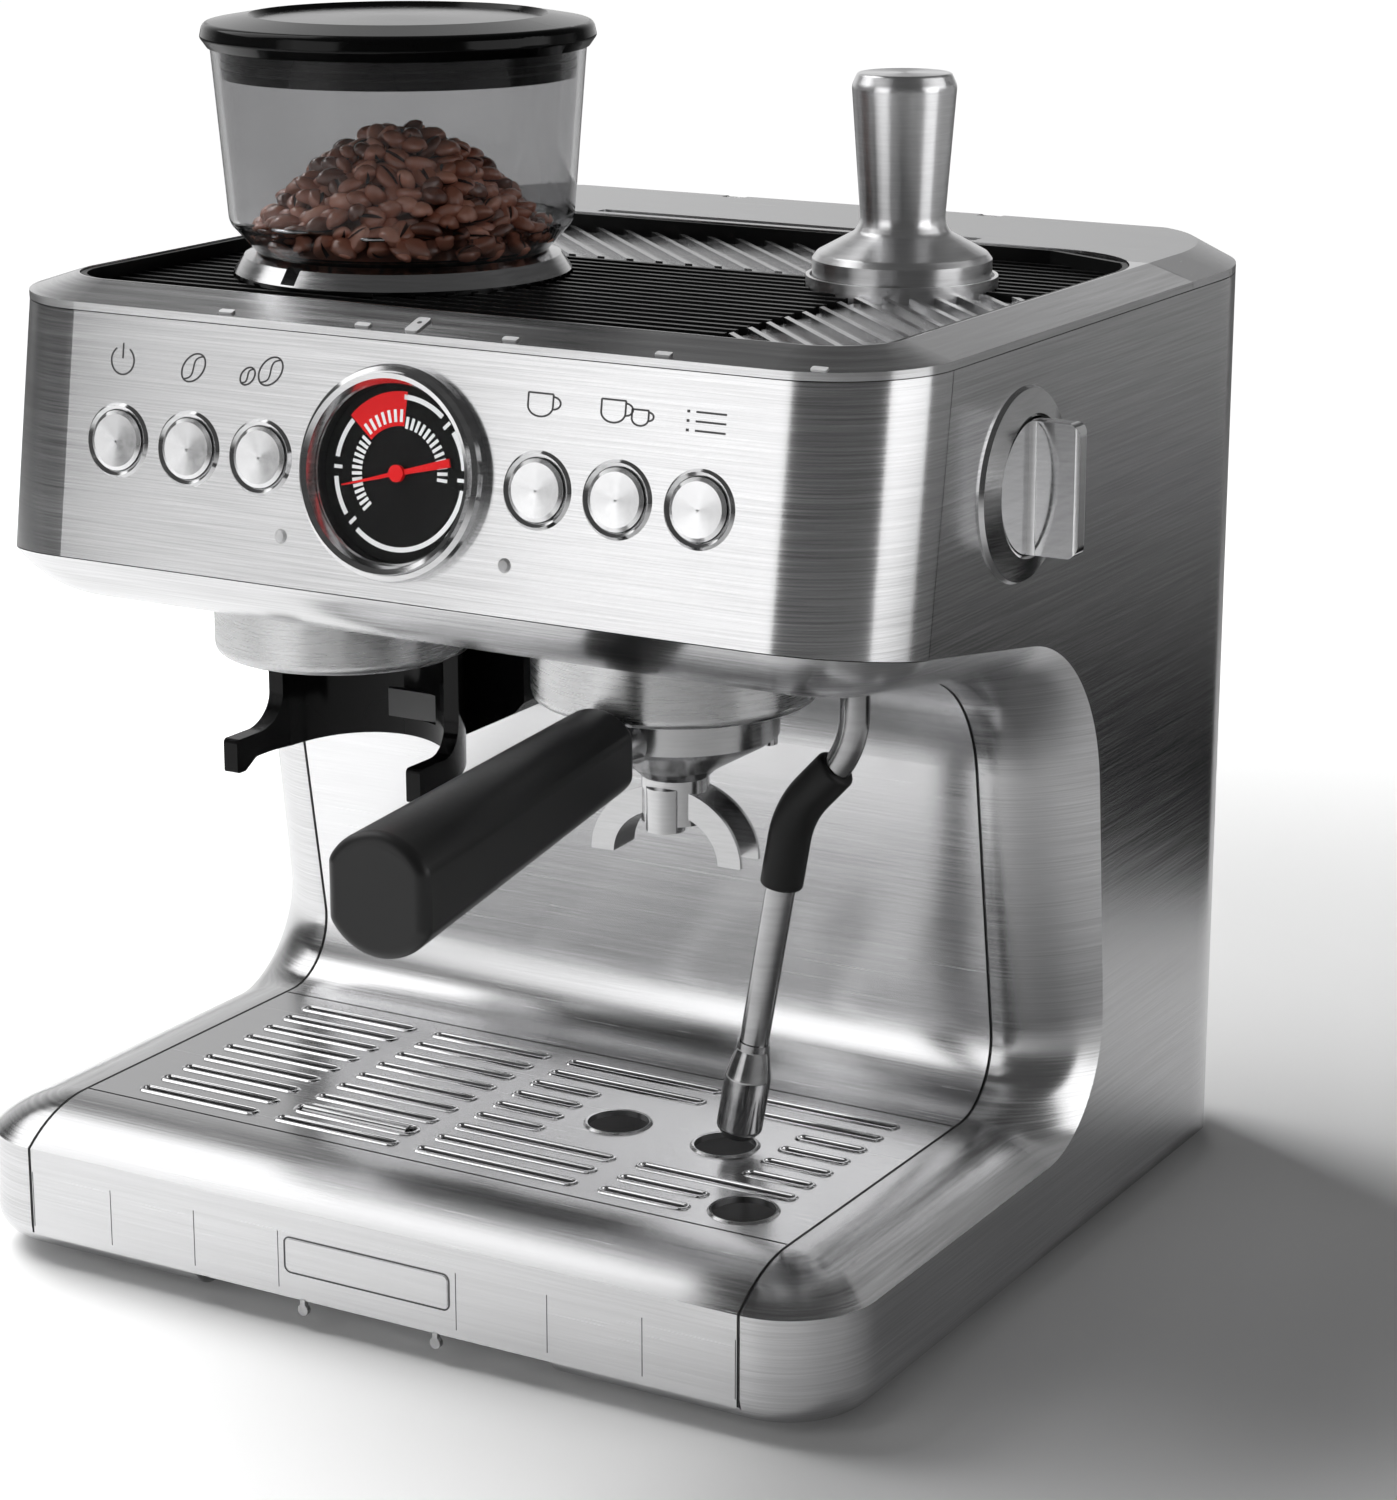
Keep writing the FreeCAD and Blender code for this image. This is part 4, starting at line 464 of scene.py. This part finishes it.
def clock_tick(r0, r1, hour, width):
    """Straight mark of the gauge that points at an hour."""
    a = math.radians(30 * hour)
    return ribbon([(GAUGE[0] + r * math.sin(a), GAUGE[1] + r * math.cos(a)) for r in (r0, r1)], width)


def gauge_print():
    """Scale rings and ticks in white, with the red working range."""
    outer_ring = (22.2, 23.7)
    quarter_mark = (20.8, 23.7)
    fine_tick = (13.6, 17.2)
    red_ring = (14.2, 24.6)
    red_tick = (15.4, 19.2)
    thin = 1.0
    thick = 1.1
    white = []
    for hours in ((12, 13.25), (13.75, 14.75), (15.25, 19.25), (19.75, 20.75), (21.25, 22.3)):
        white.extend(clock_ring(*outer_ring, *hours))
    for hour in (1.5, 3, 7.5, 9):
        white.extend(clock_tick(*quarter_mark, hour, thick))
    for i in range(13):
        white.extend(clock_tick(*fine_tick, 7.5 + i * 0.222, thin))
        white.extend(clock_tick(*fine_tick, 12.2 + i * 0.24, thin))
    red = clock_ring(*red_ring, 10.33, 12.08)
    ticks = []
    for i in range(7):
        ticks.extend(clock_tick(*red_tick, 10.5 + i * 0.24, thin))
    film = (DIAL_LIFT + 0.02, DIAL_LIFT + 0.12)
    film_over_red = (DIAL_LIFT + 0.06, DIAL_LIFT + 0.22)
    add_piece("gauge_scale", *slab(white, on_panel, *film), white_print, "body")
    add_piece("gauge_range", *slab(red, on_panel, *film), red_paint, "body")
    add_piece("gauge_range_ticks", *slab(ticks, on_panel, *film_over_red), white_print, "body")


ICON_LINE = 0.55


def bean_icon(x, v, rx, ry):
    """Slanted bean: an oval with a wavy crease."""
    slant = math.sqrt(0.5)
    crease = []
    for i in range(13):
        t = i / 12 * 2 - 1
        u = t * rx
        w = ry * 0.34 * math.sin(t * math.pi)
        crease.append((x + (u - w) * slant, v + (u + w) * slant))
    return ribbon(arc(x, v, rx, ry, 0, 345, 45), ICON_LINE, True) + ribbon(crease, 0.5)


def cup_icon(x, v, wide, tall):
    """Cup seen from the side: bowl, rim and handle."""
    half = wide / 2
    rim = v + tall / 2
    bend = tall * 0.45
    bowl_z = v - tall / 2 + bend
    bowl = [(x - half, rim), (x - half, bowl_z)]
    bowl += arc(x, bowl_z, half, bend, 180, 360)
    bowl.append((x + half, rim))
    handle = arc(x + half, v + tall * 0.12, wide * 0.3, tall * 0.27, 90, -90)
    strokes = ribbon(bowl, ICON_LINE)
    strokes += ribbon([(x - half, rim), (x + half, rim)], ICON_LINE)
    return strokes + ribbon(handle, ICON_LINE)


def panel_icons():
    """Plain signs over the buttons: power, one and two measures, one and two cups, list."""
    line = 63.5
    far = 104.74
    mid = 77.3
    near = 49.96
    strokes = ribbon(arc(-far, line, 4.4, 4.4, 125, 415), ICON_LINE)
    strokes += ribbon([(-far, line + 0.6), (-far, line + 5.4)], ICON_LINE)
    strokes += bean_icon(-mid, line, 5.2, 3.5)
    strokes += bean_icon(-near - 6.7, line - 0.8, 3.2, 2.2)
    strokes += bean_icon(-near + 1.8, line + 1.4, 5.2, 3.5)
    strokes += cup_icon(near - 1, line, 8.6, 6.8)
    strokes += cup_icon(mid - 3.5, line + 0.4, 8.2, 6.6)
    strokes += cup_icon(mid + 5.6, line - 0.7, 5.6, 4.6)
    for i in (-1, 0, 1):
        row = line + i * 2.7
        strokes += ribbon([(far - 3.4, row), (far + 6.6, row)], 0.6)
        strokes += ribbon([(far - 6.4, row), (far - 5.5, row)], 0.8)
    add_piece("panel_icons", *slab(strokes, on_panel, 0.02, 0.1), dark_print, "body")


# Drip tray: plate, score lines, hooks, slot lips and seams

def tray_front_trim():
    """Bare plate with its outline, faint score lines and two small hooks on the drip tray's front."""
    plate = rounded_outline(-30.4, 30.4, 19.4, 30.1, 1.7)
    outline = ribbon(rounded_outline(-31, 31, 18.8, 30.7, 2.2), 0.55, True)
    scores = []
    for x in (-132, -100, -66.5, -33.5, 33.5, 66.5, 100, 132):
        scores += ribbon([(x, 13), (x, 32)], 0.28)
    neck = 0.9
    hooks = []
    for x in (-24.4, 25.6):
        hook = [(x - neck, 10.5), (x - neck, 8.6)]
        hook += arc(x, 7.0, 1.9, 1.9, 118, 422, steps=16)
        hook += [(x + neck, 8.6), (x + neck, 10.5)]
        hooks.append(hook)
    add_piece("tray_plate", *slab([plate], on_tray_front, 0.02, 0.22), flat_steel, "drip_tray")
    add_piece("tray_plate_line", *slab(outline, on_tray_front, 0.02, 0.12), dark_print, "drip_tray")
    add_piece("tray_scores", *slab(scores, on_tray_front, 0.01, 0.05), grey_plastic, "drip_tray")
    add_piece("tray_hooks", *slab(hooks, on_tray_front, -1.4, 0.3), satin_metal, "drip_tray")


def obround(x0, x1, y, radius, steps=8):
    """Points round a slot with half-round ends: end centre, outward direction and radius."""
    points = []
    for cx, start in ((x1, -90), (x0, 90)):
        for i in range(steps + 1):
            a = math.radians(start + 180 * i / steps)
            points.append(((cx, y), (math.cos(a), math.sin(a)), radius))
    return points


def moulding(outlines, profile):
    """Small raised lip round closed outlines; the profile gives offsets and heights."""
    verts = []
    faces = []
    count = len(profile)
    for outline in outlines:
        start = len(verts)
        size = len(outline)
        for (cx, cy), (nx, ny), radius in outline:
            verts.extend((cx + nx * (radius + off), cy + ny * (radius + off), z) for off, z in profile)
        for i in range(size):
            here = start + i * count
            there = start + (i + 1) % size * count
            for k in range(count - 1):
                faces.append([here + k, here + k + 1, there + k + 1, there + k])
    return verts, faces


def grate_rims():
    """Pressed lips round the slots of the drip grate."""
    columns = ((-116.5, -71.3), (-61.5, -16.0), (-6.8, 51.3), (61.6, 116.8))
    beside_holes = ((-6.8, 17.6), (94.0, 116.8))
    short_end = (61.6, 91.7)
    first_row_y = -32.7
    row_step = 11.48
    slot_half = 1.6
    finger_half = 3.5
    slots = []
    for row in range(9):
        spans = list(columns)
        if 2 <= row <= 5:
            spans[2:] = beside_holes
        if row >= 7:
            spans[3] = short_end
        for i, (x0, x1) in enumerate(spans):
            half = finger_half if row == 7 and i == 1 else slot_half
            slots.append(obround(x0 + half, x1 - half, first_row_y - row * row_step, half))
    lip = ((-0.02, -0.4), (0.1, 0.35), (0.45, 0.65), (0.95, 0.5), (1.5, 0.0))
    profile = [(off, TRAY_TOP_Z + rise) for off, rise in lip]
    add_piece("grate_rims", *moulding(slots, profile), rim_steel_painted_highlight, "drip_tray", True)


def bent_path(points, radii, steps=10):
    """Side path of (y, z) points whose inner corners are arcs of the given radii."""
    path = [Vector(points[0])]
    for before, corner, after, radius in zip(points, points[1:], points[2:], radii):
        corner = Vector(corner)
        back = (Vector(before) - corner).normalized()
        ahead = (Vector(after) - corner).normalized()
        half = back.angle(ahead) / 2
        centre = corner + (back + ahead).normalized() * (radius / math.sin(half))
        start = corner + back * (radius / math.tan(half)) - centre
        end = corner + ahead * (radius / math.tan(half)) - centre
        first = math.atan2(start.y, start.x)
        turn = (math.atan2(end.y, end.x) - first + math.pi) % (2 * math.pi) - math.pi
        for i in range(steps + 1):
            a = first + turn * i / steps
            path.append(centre + Vector((math.cos(a), math.sin(a))) * radius)
    return path + [Vector(points[-1])]


def edge_strips(path, x_low, x_high, low, high):
    """Thin strips along a side path, one near each side, lifted off to the left of the path's run."""
    verts = []
    faces = []
    last = len(path) - 1
    for x0, x1 in ((x_low, x_high), (-x_high, -x_low)):
        start = len(verts)
        for i, point in enumerate(path):
            run = (path[min(i + 1, last)] - path[max(i - 1, 0)]).normalized()
            out = Vector((-run.y, run.x))
            for x, lift in ((x0, low), (x1, low), (x1, high), (x0, high)):
                spot = point + out * lift
                verts.append((x, spot.x, spot.y))
        for i in range(last):
            at = start + 4 * i
            for k in range(4):
                j = (k + 1) % 4
                faces.append([at + k, at + j, at + 4 + j, at + 4 + k])
        faces.append([start + k for k in (3, 2, 1, 0)])
        faces.append([len(verts) - 4 + k for k in range(4)])
    return verts, faces


def tray_side_path():
    """Side outline of the drip tray: up its front, over its round shoulder and back along the grate."""
    shoulder = 29.5
    low_z = 10.6
    steps = 12
    drop = TRAY_TOP_Z - TRAY_CREASE_Z
    radius = (shoulder ** 2 + drop ** 2) / (2 * drop)
    bend = math.asin(shoulder / radius)
    path = [Vector((TRAY_FRONT_Y, low_z))]
    for i in range(steps + 1):
        a = bend * (1 - i / steps)
        y = TRAY_FRONT_Y + shoulder - radius * math.sin(a)
        z = TRAY_TOP_Z - radius + radius * math.cos(a)
        path.append(Vector((y, z)))
    return path + [Vector((GRATE_BACK_Y - 0.2, TRAY_TOP_Z))]


def wall_side_path():
    """Side outline of the bay wall: from the grate back, up the wall and forward under the head."""
    foot = (GRATE_BACK_Y + 0.4, TRAY_TOP_Z)
    lower_corner = (7.6, TRAY_TOP_Z)
    upper_corner = (-16.3, 200.64)
    head_end = (-46.0, 205.34)
    lower_radius = 22.0
    upper_radius = 46.0
    return bent_path((foot, lower_corner, upper_corner, head_end), (lower_radius, upper_radius))


def seam_lines():
    """Dark lines at the edges of the drip tray, the grate and the bay wall."""
    edge = TRAY_EDGE_X - 0.05
    inner = edge - 0.7
    film = (0.01, 0.06)
    add_piece("tray_seams", *edge_strips(tray_side_path(), inner, edge, *film), rubber, "drip_tray")
    end = inner - 0.2
    cross = []
    for y in (GRATE_FRONT_Y - 0.6, GRATE_BACK_Y - 0.6):
        cross += ribbon([(-end, y), (end, y)], 0.45)
    add_piece("grate_seams", *slab(cross, on_grate, 0.01, 0.05), rubber, "drip_tray")
    add_piece("wall_seams", *edge_strips(wall_side_path(), inner, edge, *film), rubber, "body")


def frame_tabs():
    """Small clips along the front bevel of the top frame, the tallest with a dark disc painted on as the
    shade of a hole.
    """
    tabs = []
    for x in (-67, -16.4, 36.2, 88.3, 139):
        tabs.append(rounded_outline(x - 2.6, x + 2.6, 1.2, 3.4, 0.6))
    tabs.append(rounded_outline(-1.0, 3.8, 1.0, 10.0, 1.2))
    # Painted shade: a dark disc on the tallest tab stands for its hole.
    hole_shade = arc(1.4, 6.5, 0.8, 0.8, 0, 330, steps=11)
    add_piece("frame_tabs", *slab(tabs, on_bevel, 0.02, 0.7), tab_grey, "body")
    add_piece("frame_tab_hole_shade", *slab([hole_shade], on_bevel, 0.5, 0.76), dark_print, "body")


# Coffee beans in the hopper

BEAN_TURNS = (0, 30, 60, 90, 120, 150, 180, 212, 240, 260, 270, 280, 300, 328)
BEAN_GROOVE = (9, 10)
BEAN_LONG = 5.2
BEAN_WIDE = 3.7
BEAN_TALL = 3.6
BEAN_COUNT = 330
BEAN_GAP = 5.0
MOST_TRIES = 20000
HEAP_FOOT = 326.0
HEAP_RISE = 36.0
HEAP_RADIUS = 50.0
BOWL_RADIUS = 50.5


def bean_shape():
    """One bean: a domed back, a flat face and a groove along the face, with the groove's faces marked."""
    verts = []
    faces = []
    in_groove = []
    rings = 7
    sides = len(BEAN_TURNS)
    for i in range(rings):
        t = math.pi * (i + 0.5) / rings
        for turn in BEAN_TURNS:
            a = math.radians(turn)
            z = math.sin(t) * math.sin(a)
            if z < 0:
                z *= 0.45
            if turn == 270:
                z += 0.28 * math.sin(t)
            verts.append((math.cos(t) * BEAN_LONG, math.sin(t) * math.cos(a) * BEAN_WIDE, z * BEAN_TALL))
    for i in range(rings - 1):
        for j in range(sides):
            k = (j + 1) % sides
            faces.append([i * sides + j, i * sides + k, (i + 1) * sides + k, (i + 1) * sides + j])
            in_groove.append(j in BEAN_GROOVE)
    faces.append([sides - 1 - j for j in range(sides)])
    faces.append([(rings - 1) * sides + j for j in range(sides)])
    return verts, faces, in_groove + [False, False]


def mound_height(radius):
    share = min(1.0, radius / HEAP_RADIUS)
    return HEAP_FOOT + HEAP_RISE * (1 - share ** 1.7)


def bean_spot(pick):
    """Place on the heap, measured from the bowl's axis; one in three lies in a lower layer."""
    radius = 46.5 * math.sqrt(pick.random())
    a = pick.uniform(0, 2 * math.pi)
    depth = pick.choice((0.0, 0.0, -4.5))
    height = max(HEAP_FOOT + 1.5, mound_height(radius) - 1.5 + depth)
    return Vector((radius * math.cos(a), radius * math.sin(a), height))


def bean_turn(pick):
    """Any heading, some tilt, and nearly half of the beans with their groove up."""
    turn = Matrix.Rotation(pick.uniform(0, 6.28), 3, "Z") @ Matrix.Rotation(pick.gauss(0, 0.5), 3, "X")
    if pick.random() < 0.45:
        turn = turn @ Matrix.Rotation(math.pi, 3, "X")
    return turn @ Matrix.Rotation(pick.gauss(0, 0.35), 3, "Y")


def inside_bowl(point):
    """Point in the bowl, drawn in to its wall where it would pass it."""
    reach = math.hypot(point.x, point.y)
    share = BOWL_RADIUS / reach if reach > BOWL_RADIUS else 1.0
    return (point.x * share + HOPPER[0], point.y * share + HOPPER[1], point.z)


def bean_heap():
    """Heap of separate beans in three browns, with their grooves darkened as painted shade."""
    pick = random.Random(7)
    base_verts, base_faces, in_groove = bean_shape()
    shapes = []
    shades = []
    placed = []
    tries = 0
    while len(placed) < BEAN_COUNT and tries < MOST_TRIES:
        tries += 1
        spot = bean_spot(pick)
        if any((spot - other).length < BEAN_GAP for other in placed):
            continue
        placed.append(spot)
        turn = bean_turn(pick)
        size = pick.uniform(0.86, 1.08)
        shapes.append(([inside_bowl(turn @ Vector(v) * size + spot) for v in base_verts], base_faces))
        tone = pick.choice((0, 0, 1, 2))
        shades.extend([3 if groove else tone for groove in in_groove])
    heap = add_piece("coffee_beans", *joined(shapes), bean_brown, "hopper", True)
    for material in (bean_light, bean_dark, bean_groove_shade):
        heap.data.materials.append(material)
    for polygon, shade in zip(heap.data.polygons, shades):
        polygon.material_index = shade


def bean_shade_mound():
    """Mound under the beans that stands for the deeper beans, in the dark bean colour as painted shade in
    the gaps.
    """
    verts = []
    faces = []
    steps = 8
    sides = 36
    for i in range(steps + 1):
        radius = 44.0 * i / steps + 0.05
        height = mound_height(radius + 4) - 4
        for j in range(sides):
            a = 2 * math.pi * j / sides
            verts.append((HOPPER[0] + radius * math.cos(a), HOPPER[1] + radius * math.sin(a), height))
    for i in range(steps):
        for j in range(sides):
            k = (j + 1) % sides
            faces.append([i * sides + j, (i + 1) * sides + j, (i + 1) * sides + k, i * sides + k])
    faces.append(list(range(sides)))
    add_piece("bean_shade_mound", verts, faces, bean_dark, "hopper", True)


# Small parts of the hopper and the back

def lid_seal():
    """Two seal ridges on the lid's skirt."""
    root = 57.1
    crest = 57.75
    ridges = []
    for z in (382.2, 384.8):
        profile = [(root, z - 0.5), (crest, z - 0.25), (crest, z + 0.25), (root, z + 0.5)]
        ridges.append(lathe(profile, *HOPPER, 72))
    add_piece("lid_seal", *joined(ridges), rubber, "hopper_cover", True)


def hopper_pin(name, x, y, disc, top):
    """Mushroom-shaped pin in the bottom of the bowl."""
    stem = 1.5
    tip = 0.05
    foot = top - 9
    profile = [(tip, foot), (stem, foot), (stem, top - 1.6), (disc - 0.6, top - 1.4), (disc, top - 0.7),
               (disc - 0.8, top - 0.1), (tip, top)]
    add_piece(name, *lathe(profile, x, y, 32), chrome, "hopper", True)


def screw_heads():
    """Domed screw heads on the back panel."""
    profile = [(0.05, 1.2), (2.4, 1.0), (3.4, 0.02), (0.05, 0.02)]
    head_verts, head_faces = lathe(profile, 0, 0, 16)
    heads = []
    for x in (-94, 94):
        for z in (26, 150, 290):
            heads.append(([(x + u, BACK_Y + h, z + w) for u, w, h in head_verts], head_faces))
    add_piece("back_screws", *joined(heads), satin_metal, "body")


gauge_print()
panel_icons()
tray_front_trim()
grate_rims()
seam_lines()
frame_tabs()
bean_heap()
bean_shade_mound()
lid_seal()
hopper_pin("hopper_pin_left", -83.0, -68.5, 9.5, 333.0)
hopper_pin("hopper_pin_right", -55.0, -66.0, 8.0, 332.0)
screw_heads()


# Stage: pale floor, a board seen only in reflections that paints a dark reflection into the right side,
# soft lamps and a white background, in metres

FLOOR_HALF = 6.0
FLOOR_TONE = 0.88
FLOOR_FADE = (0.25, 1.0)
FLOOR_GLOW = (0.04, 1.0)
FLOOR_IN_GLOSS = 0.04
WORLD_IN_GLOSS = 0.06
BACK_LEFT = (-0.6, 0.78, -0.15)
MIDDLE = (0, 0, 0.2)
FLOOR_FRONT_LEFT = (-0.26, -0.46, 0)
LENS = 91.39
SENSOR = 36.0
CAMERA_PLACE = (0.63738, -1.06411, 0.49920)
CAMERA_DIP = 0.2716
CAMERA_TURN = 0.5226


def grey(tone):
    return (tone, tone, tone)


def seen_rays(tree, glossy):
    """Number that is 1 for what the camera sees, also through clear pieces, and less in reflections."""
    path = tree.nodes.new("ShaderNodeLightPath")
    dim = tree.nodes.new("ShaderNodeMath")
    dim.operation = "MULTIPLY"
    dim.inputs[1].default_value = glossy
    tree.links.new(path.outputs["Is Glossy Ray"], dim.inputs[0])
    last = dim.outputs[0]
    for output in ("Is Camera Ray", "Is Transmission Ray"):
        most = tree.nodes.new("ShaderNodeMath")
        most.operation = "MAXIMUM"
        tree.links.new(last, most.inputs[0])
        tree.links.new(path.outputs[output], most.inputs[1])
        last = most.outputs[0]
    return last


def flat_quad(name, corners, material):
    """Flat object with four corners."""
    mesh = bpy.data.meshes.new(name)
    mesh.from_pydata(corners, [], [(0, 1, 2, 3)])
    mesh.materials.append(material)
    quad = bpy.data.objects.new(name, mesh)
    bpy.context.scene.collection.objects.link(quad)
    return quad


def floor_strength(tree):
    """Glow of the floor: faint near the object, so that its shadow stays, and full far away; this uneven
    glow is painted light that whitens the floor and its shadow away from the object.
    """
    coords = tree.nodes.new("ShaderNodeTexCoord")
    away = tree.nodes.new("ShaderNodeVectorMath")
    away.operation = "LENGTH"
    tree.links.new(coords.outputs["Object"], away.inputs[0])
    fade = tree.nodes.new("ShaderNodeMapRange")
    fade.interpolation_type = "SMOOTHSTEP"
    fade.inputs["From Min"].default_value = FLOOR_FADE[0]
    fade.inputs["From Max"].default_value = FLOOR_FADE[1]
    fade.inputs["To Min"].default_value = FLOOR_GLOW[0]
    fade.inputs["To Max"].default_value = FLOOR_GLOW[1]
    tree.links.new(away.outputs["Value"], fade.inputs["Value"])
    amount = tree.nodes.new("ShaderNodeMath")
    amount.operation = "MULTIPLY"
    tree.links.new(seen_rays(tree, FLOOR_IN_GLOSS), amount.inputs[0])
    tree.links.new(fade.outputs["Result"], amount.inputs[1])
    return amount.outputs[0]


def make_floor():
    material = bpy.data.materials.new("floor_white")
    material.use_nodes = True
    tree = material.node_tree
    tree.nodes.clear()
    out = tree.nodes.new("ShaderNodeOutputMaterial")
    add = tree.nodes.new("ShaderNodeAddShader")
    diffuse = tree.nodes.new("ShaderNodeBsdfDiffuse")
    diffuse.inputs["Color"].default_value = (*grey(FLOOR_TONE), 1)
    glow = tree.nodes.new("ShaderNodeEmission")
    tree.links.new(floor_strength(tree), glow.inputs["Strength"])
    tree.links.new(diffuse.outputs[0], add.inputs[0])
    tree.links.new(glow.outputs[0], add.inputs[1])
    tree.links.new(add.outputs[0], out.inputs["Surface"])
    half = FLOOR_HALF
    corners = [(-half, -half, 0), (half, -half, 0), (half, half, 0), (-half, half, 0)]
    floor = flat_quad("floor", corners, material)


def make_reflection_board():
    """Board beside the object, seen only in reflections, dark below and paler above: a painted reflection
    of shade in the right side panel.
    """
    left = Vector((0.18, 0.44, 0))
    right = Vector((0.64, 0.18, 0))
    rise = Vector((0, 0, 0.5))
    material, tree, shader = new_material("reflection_board_grey")
    shader.inputs["Roughness"].default_value = 0.9
    shader.inputs["Specular IOR Level"].default_value = 0.0
    coords = tree.nodes.new("ShaderNodeTexCoord")
    parts = tree.nodes.new("ShaderNodeSeparateXYZ")
    tree.links.new(coords.outputs["Generated"], parts.inputs[0])
    # Painted reflection: the board's tone runs from near black low down to pale grey higher up.
    colour = ramp_between(tree, parts.outputs["Z"], (0.15, 0.55), (grey(0.02), grey(0.45)))
    tree.links.new(colour, shader.inputs["Base Color"])
    reflection_board = flat_quad("reflection_board", [left, right, right + rise, left + rise], material)
    reflection_board.visible_camera = False
    reflection_board.visible_shadow = False
    reflection_board.visible_diffuse = False


def make_world():
    """White for the camera; for the light a dark room that is paler at the back left."""
    world = bpy.data.worlds.new("studio")
    bpy.context.scene.world = world
    world.use_nodes = True
    tree = world.node_tree
    tree.nodes.clear()
    out = tree.nodes.new("ShaderNodeOutputWorld")
    background = tree.nodes.new("ShaderNodeBackground")
    coords = tree.nodes.new("ShaderNodeTexCoord")
    side = tree.nodes.new("ShaderNodeVectorMath")
    side.operation = "DOT_PRODUCT"
    side.inputs[1].default_value = BACK_LEFT
    tree.links.new(coords.outputs["Generated"], side.inputs[0])
    room = ramp_between(tree, side.outputs["Value"], (0.65, 0.92), (grey(0.02), grey(0.75)))
    mix = tree.nodes.new("ShaderNodeMix")
    mix.data_type = "RGBA"
    mix.inputs["B"].default_value = (1, 1, 1, 1)
    tree.links.new(room, mix.inputs["A"])
    tree.links.new(seen_rays(tree, WORLD_IN_GLOSS), mix.inputs["Factor"])
    tree.links.new(mix.outputs["Result"], background.inputs["Color"])
    tree.links.new(background.outputs[0], out.inputs["Surface"])


def around(angle, distance, height):
    """Place on a circle round the object; the angle runs from the front to the right."""
    a = math.radians(angle)
    return (distance * math.sin(a), -distance * math.cos(a), height)


def soft_box(name, place, target, width, height, glow, cone=180):
    """Soft lamp whose face has the given brightness, narrowed to a cone in degrees."""
    light = bpy.data.lights.new(name, "AREA")
    light.shape = "RECTANGLE"
    light.size = width
    light.size_y = height
    light.energy = glow * math.pi * width * height
    light.spread = math.radians(cone)
    lamp = bpy.data.objects.new(name, light)
    bpy.context.scene.collection.objects.link(lamp)
    lamp.location = place
    lamp.rotation_euler = (Vector(target) - Vector(place)).to_track_quat("-Z", "Y").to_euler()
    return lamp


def make_lamps():
    """Two front lamps, a card on the right that lights only gloss, a left lamp and one for the floor."""
    soft_box("key_left", around(-34.7, 1.7, 0.62), MIDDLE, width=0.30, height=1.2, glow=0.98)
    soft_box("key_right", around(-17, 1.7, 0.62), MIDDLE, width=0.78, height=1.2, glow=1.5)
    card = soft_box("right_card", around(104, 1.5, 0.6), MIDDLE, width=1.7, height=1.1, glow=1.8)
    card.visible_diffuse = False
    soft_box("left", around(-85, 1.1, 1.35), MIDDLE, width=1.1, height=1.1, glow=1.8)
    floor_place = around(-92, 1.15, 1.45)
    floor_lamp = soft_box("floor_lamp", floor_place, FLOOR_FRONT_LEFT, width=1.4, height=1.4, glow=2.4,
                          cone=90)
    floor_lamp.visible_glossy = False


def make_camera():
    data = bpy.data.cameras.new("camera")
    data.lens = LENS
    data.sensor_width = SENSOR
    camera = bpy.data.objects.new("camera", data)
    bpy.context.scene.collection.objects.link(camera)
    camera.location = CAMERA_PLACE
    camera.rotation_euler = (math.pi / 2 - CAMERA_DIP, 0, CAMERA_TURN)
    bpy.context.scene.camera = camera


make_floor()
make_reflection_board()
make_world()
make_lamps()
make_camera()
bpy.context.scene.view_settings.view_transform = "Standard"
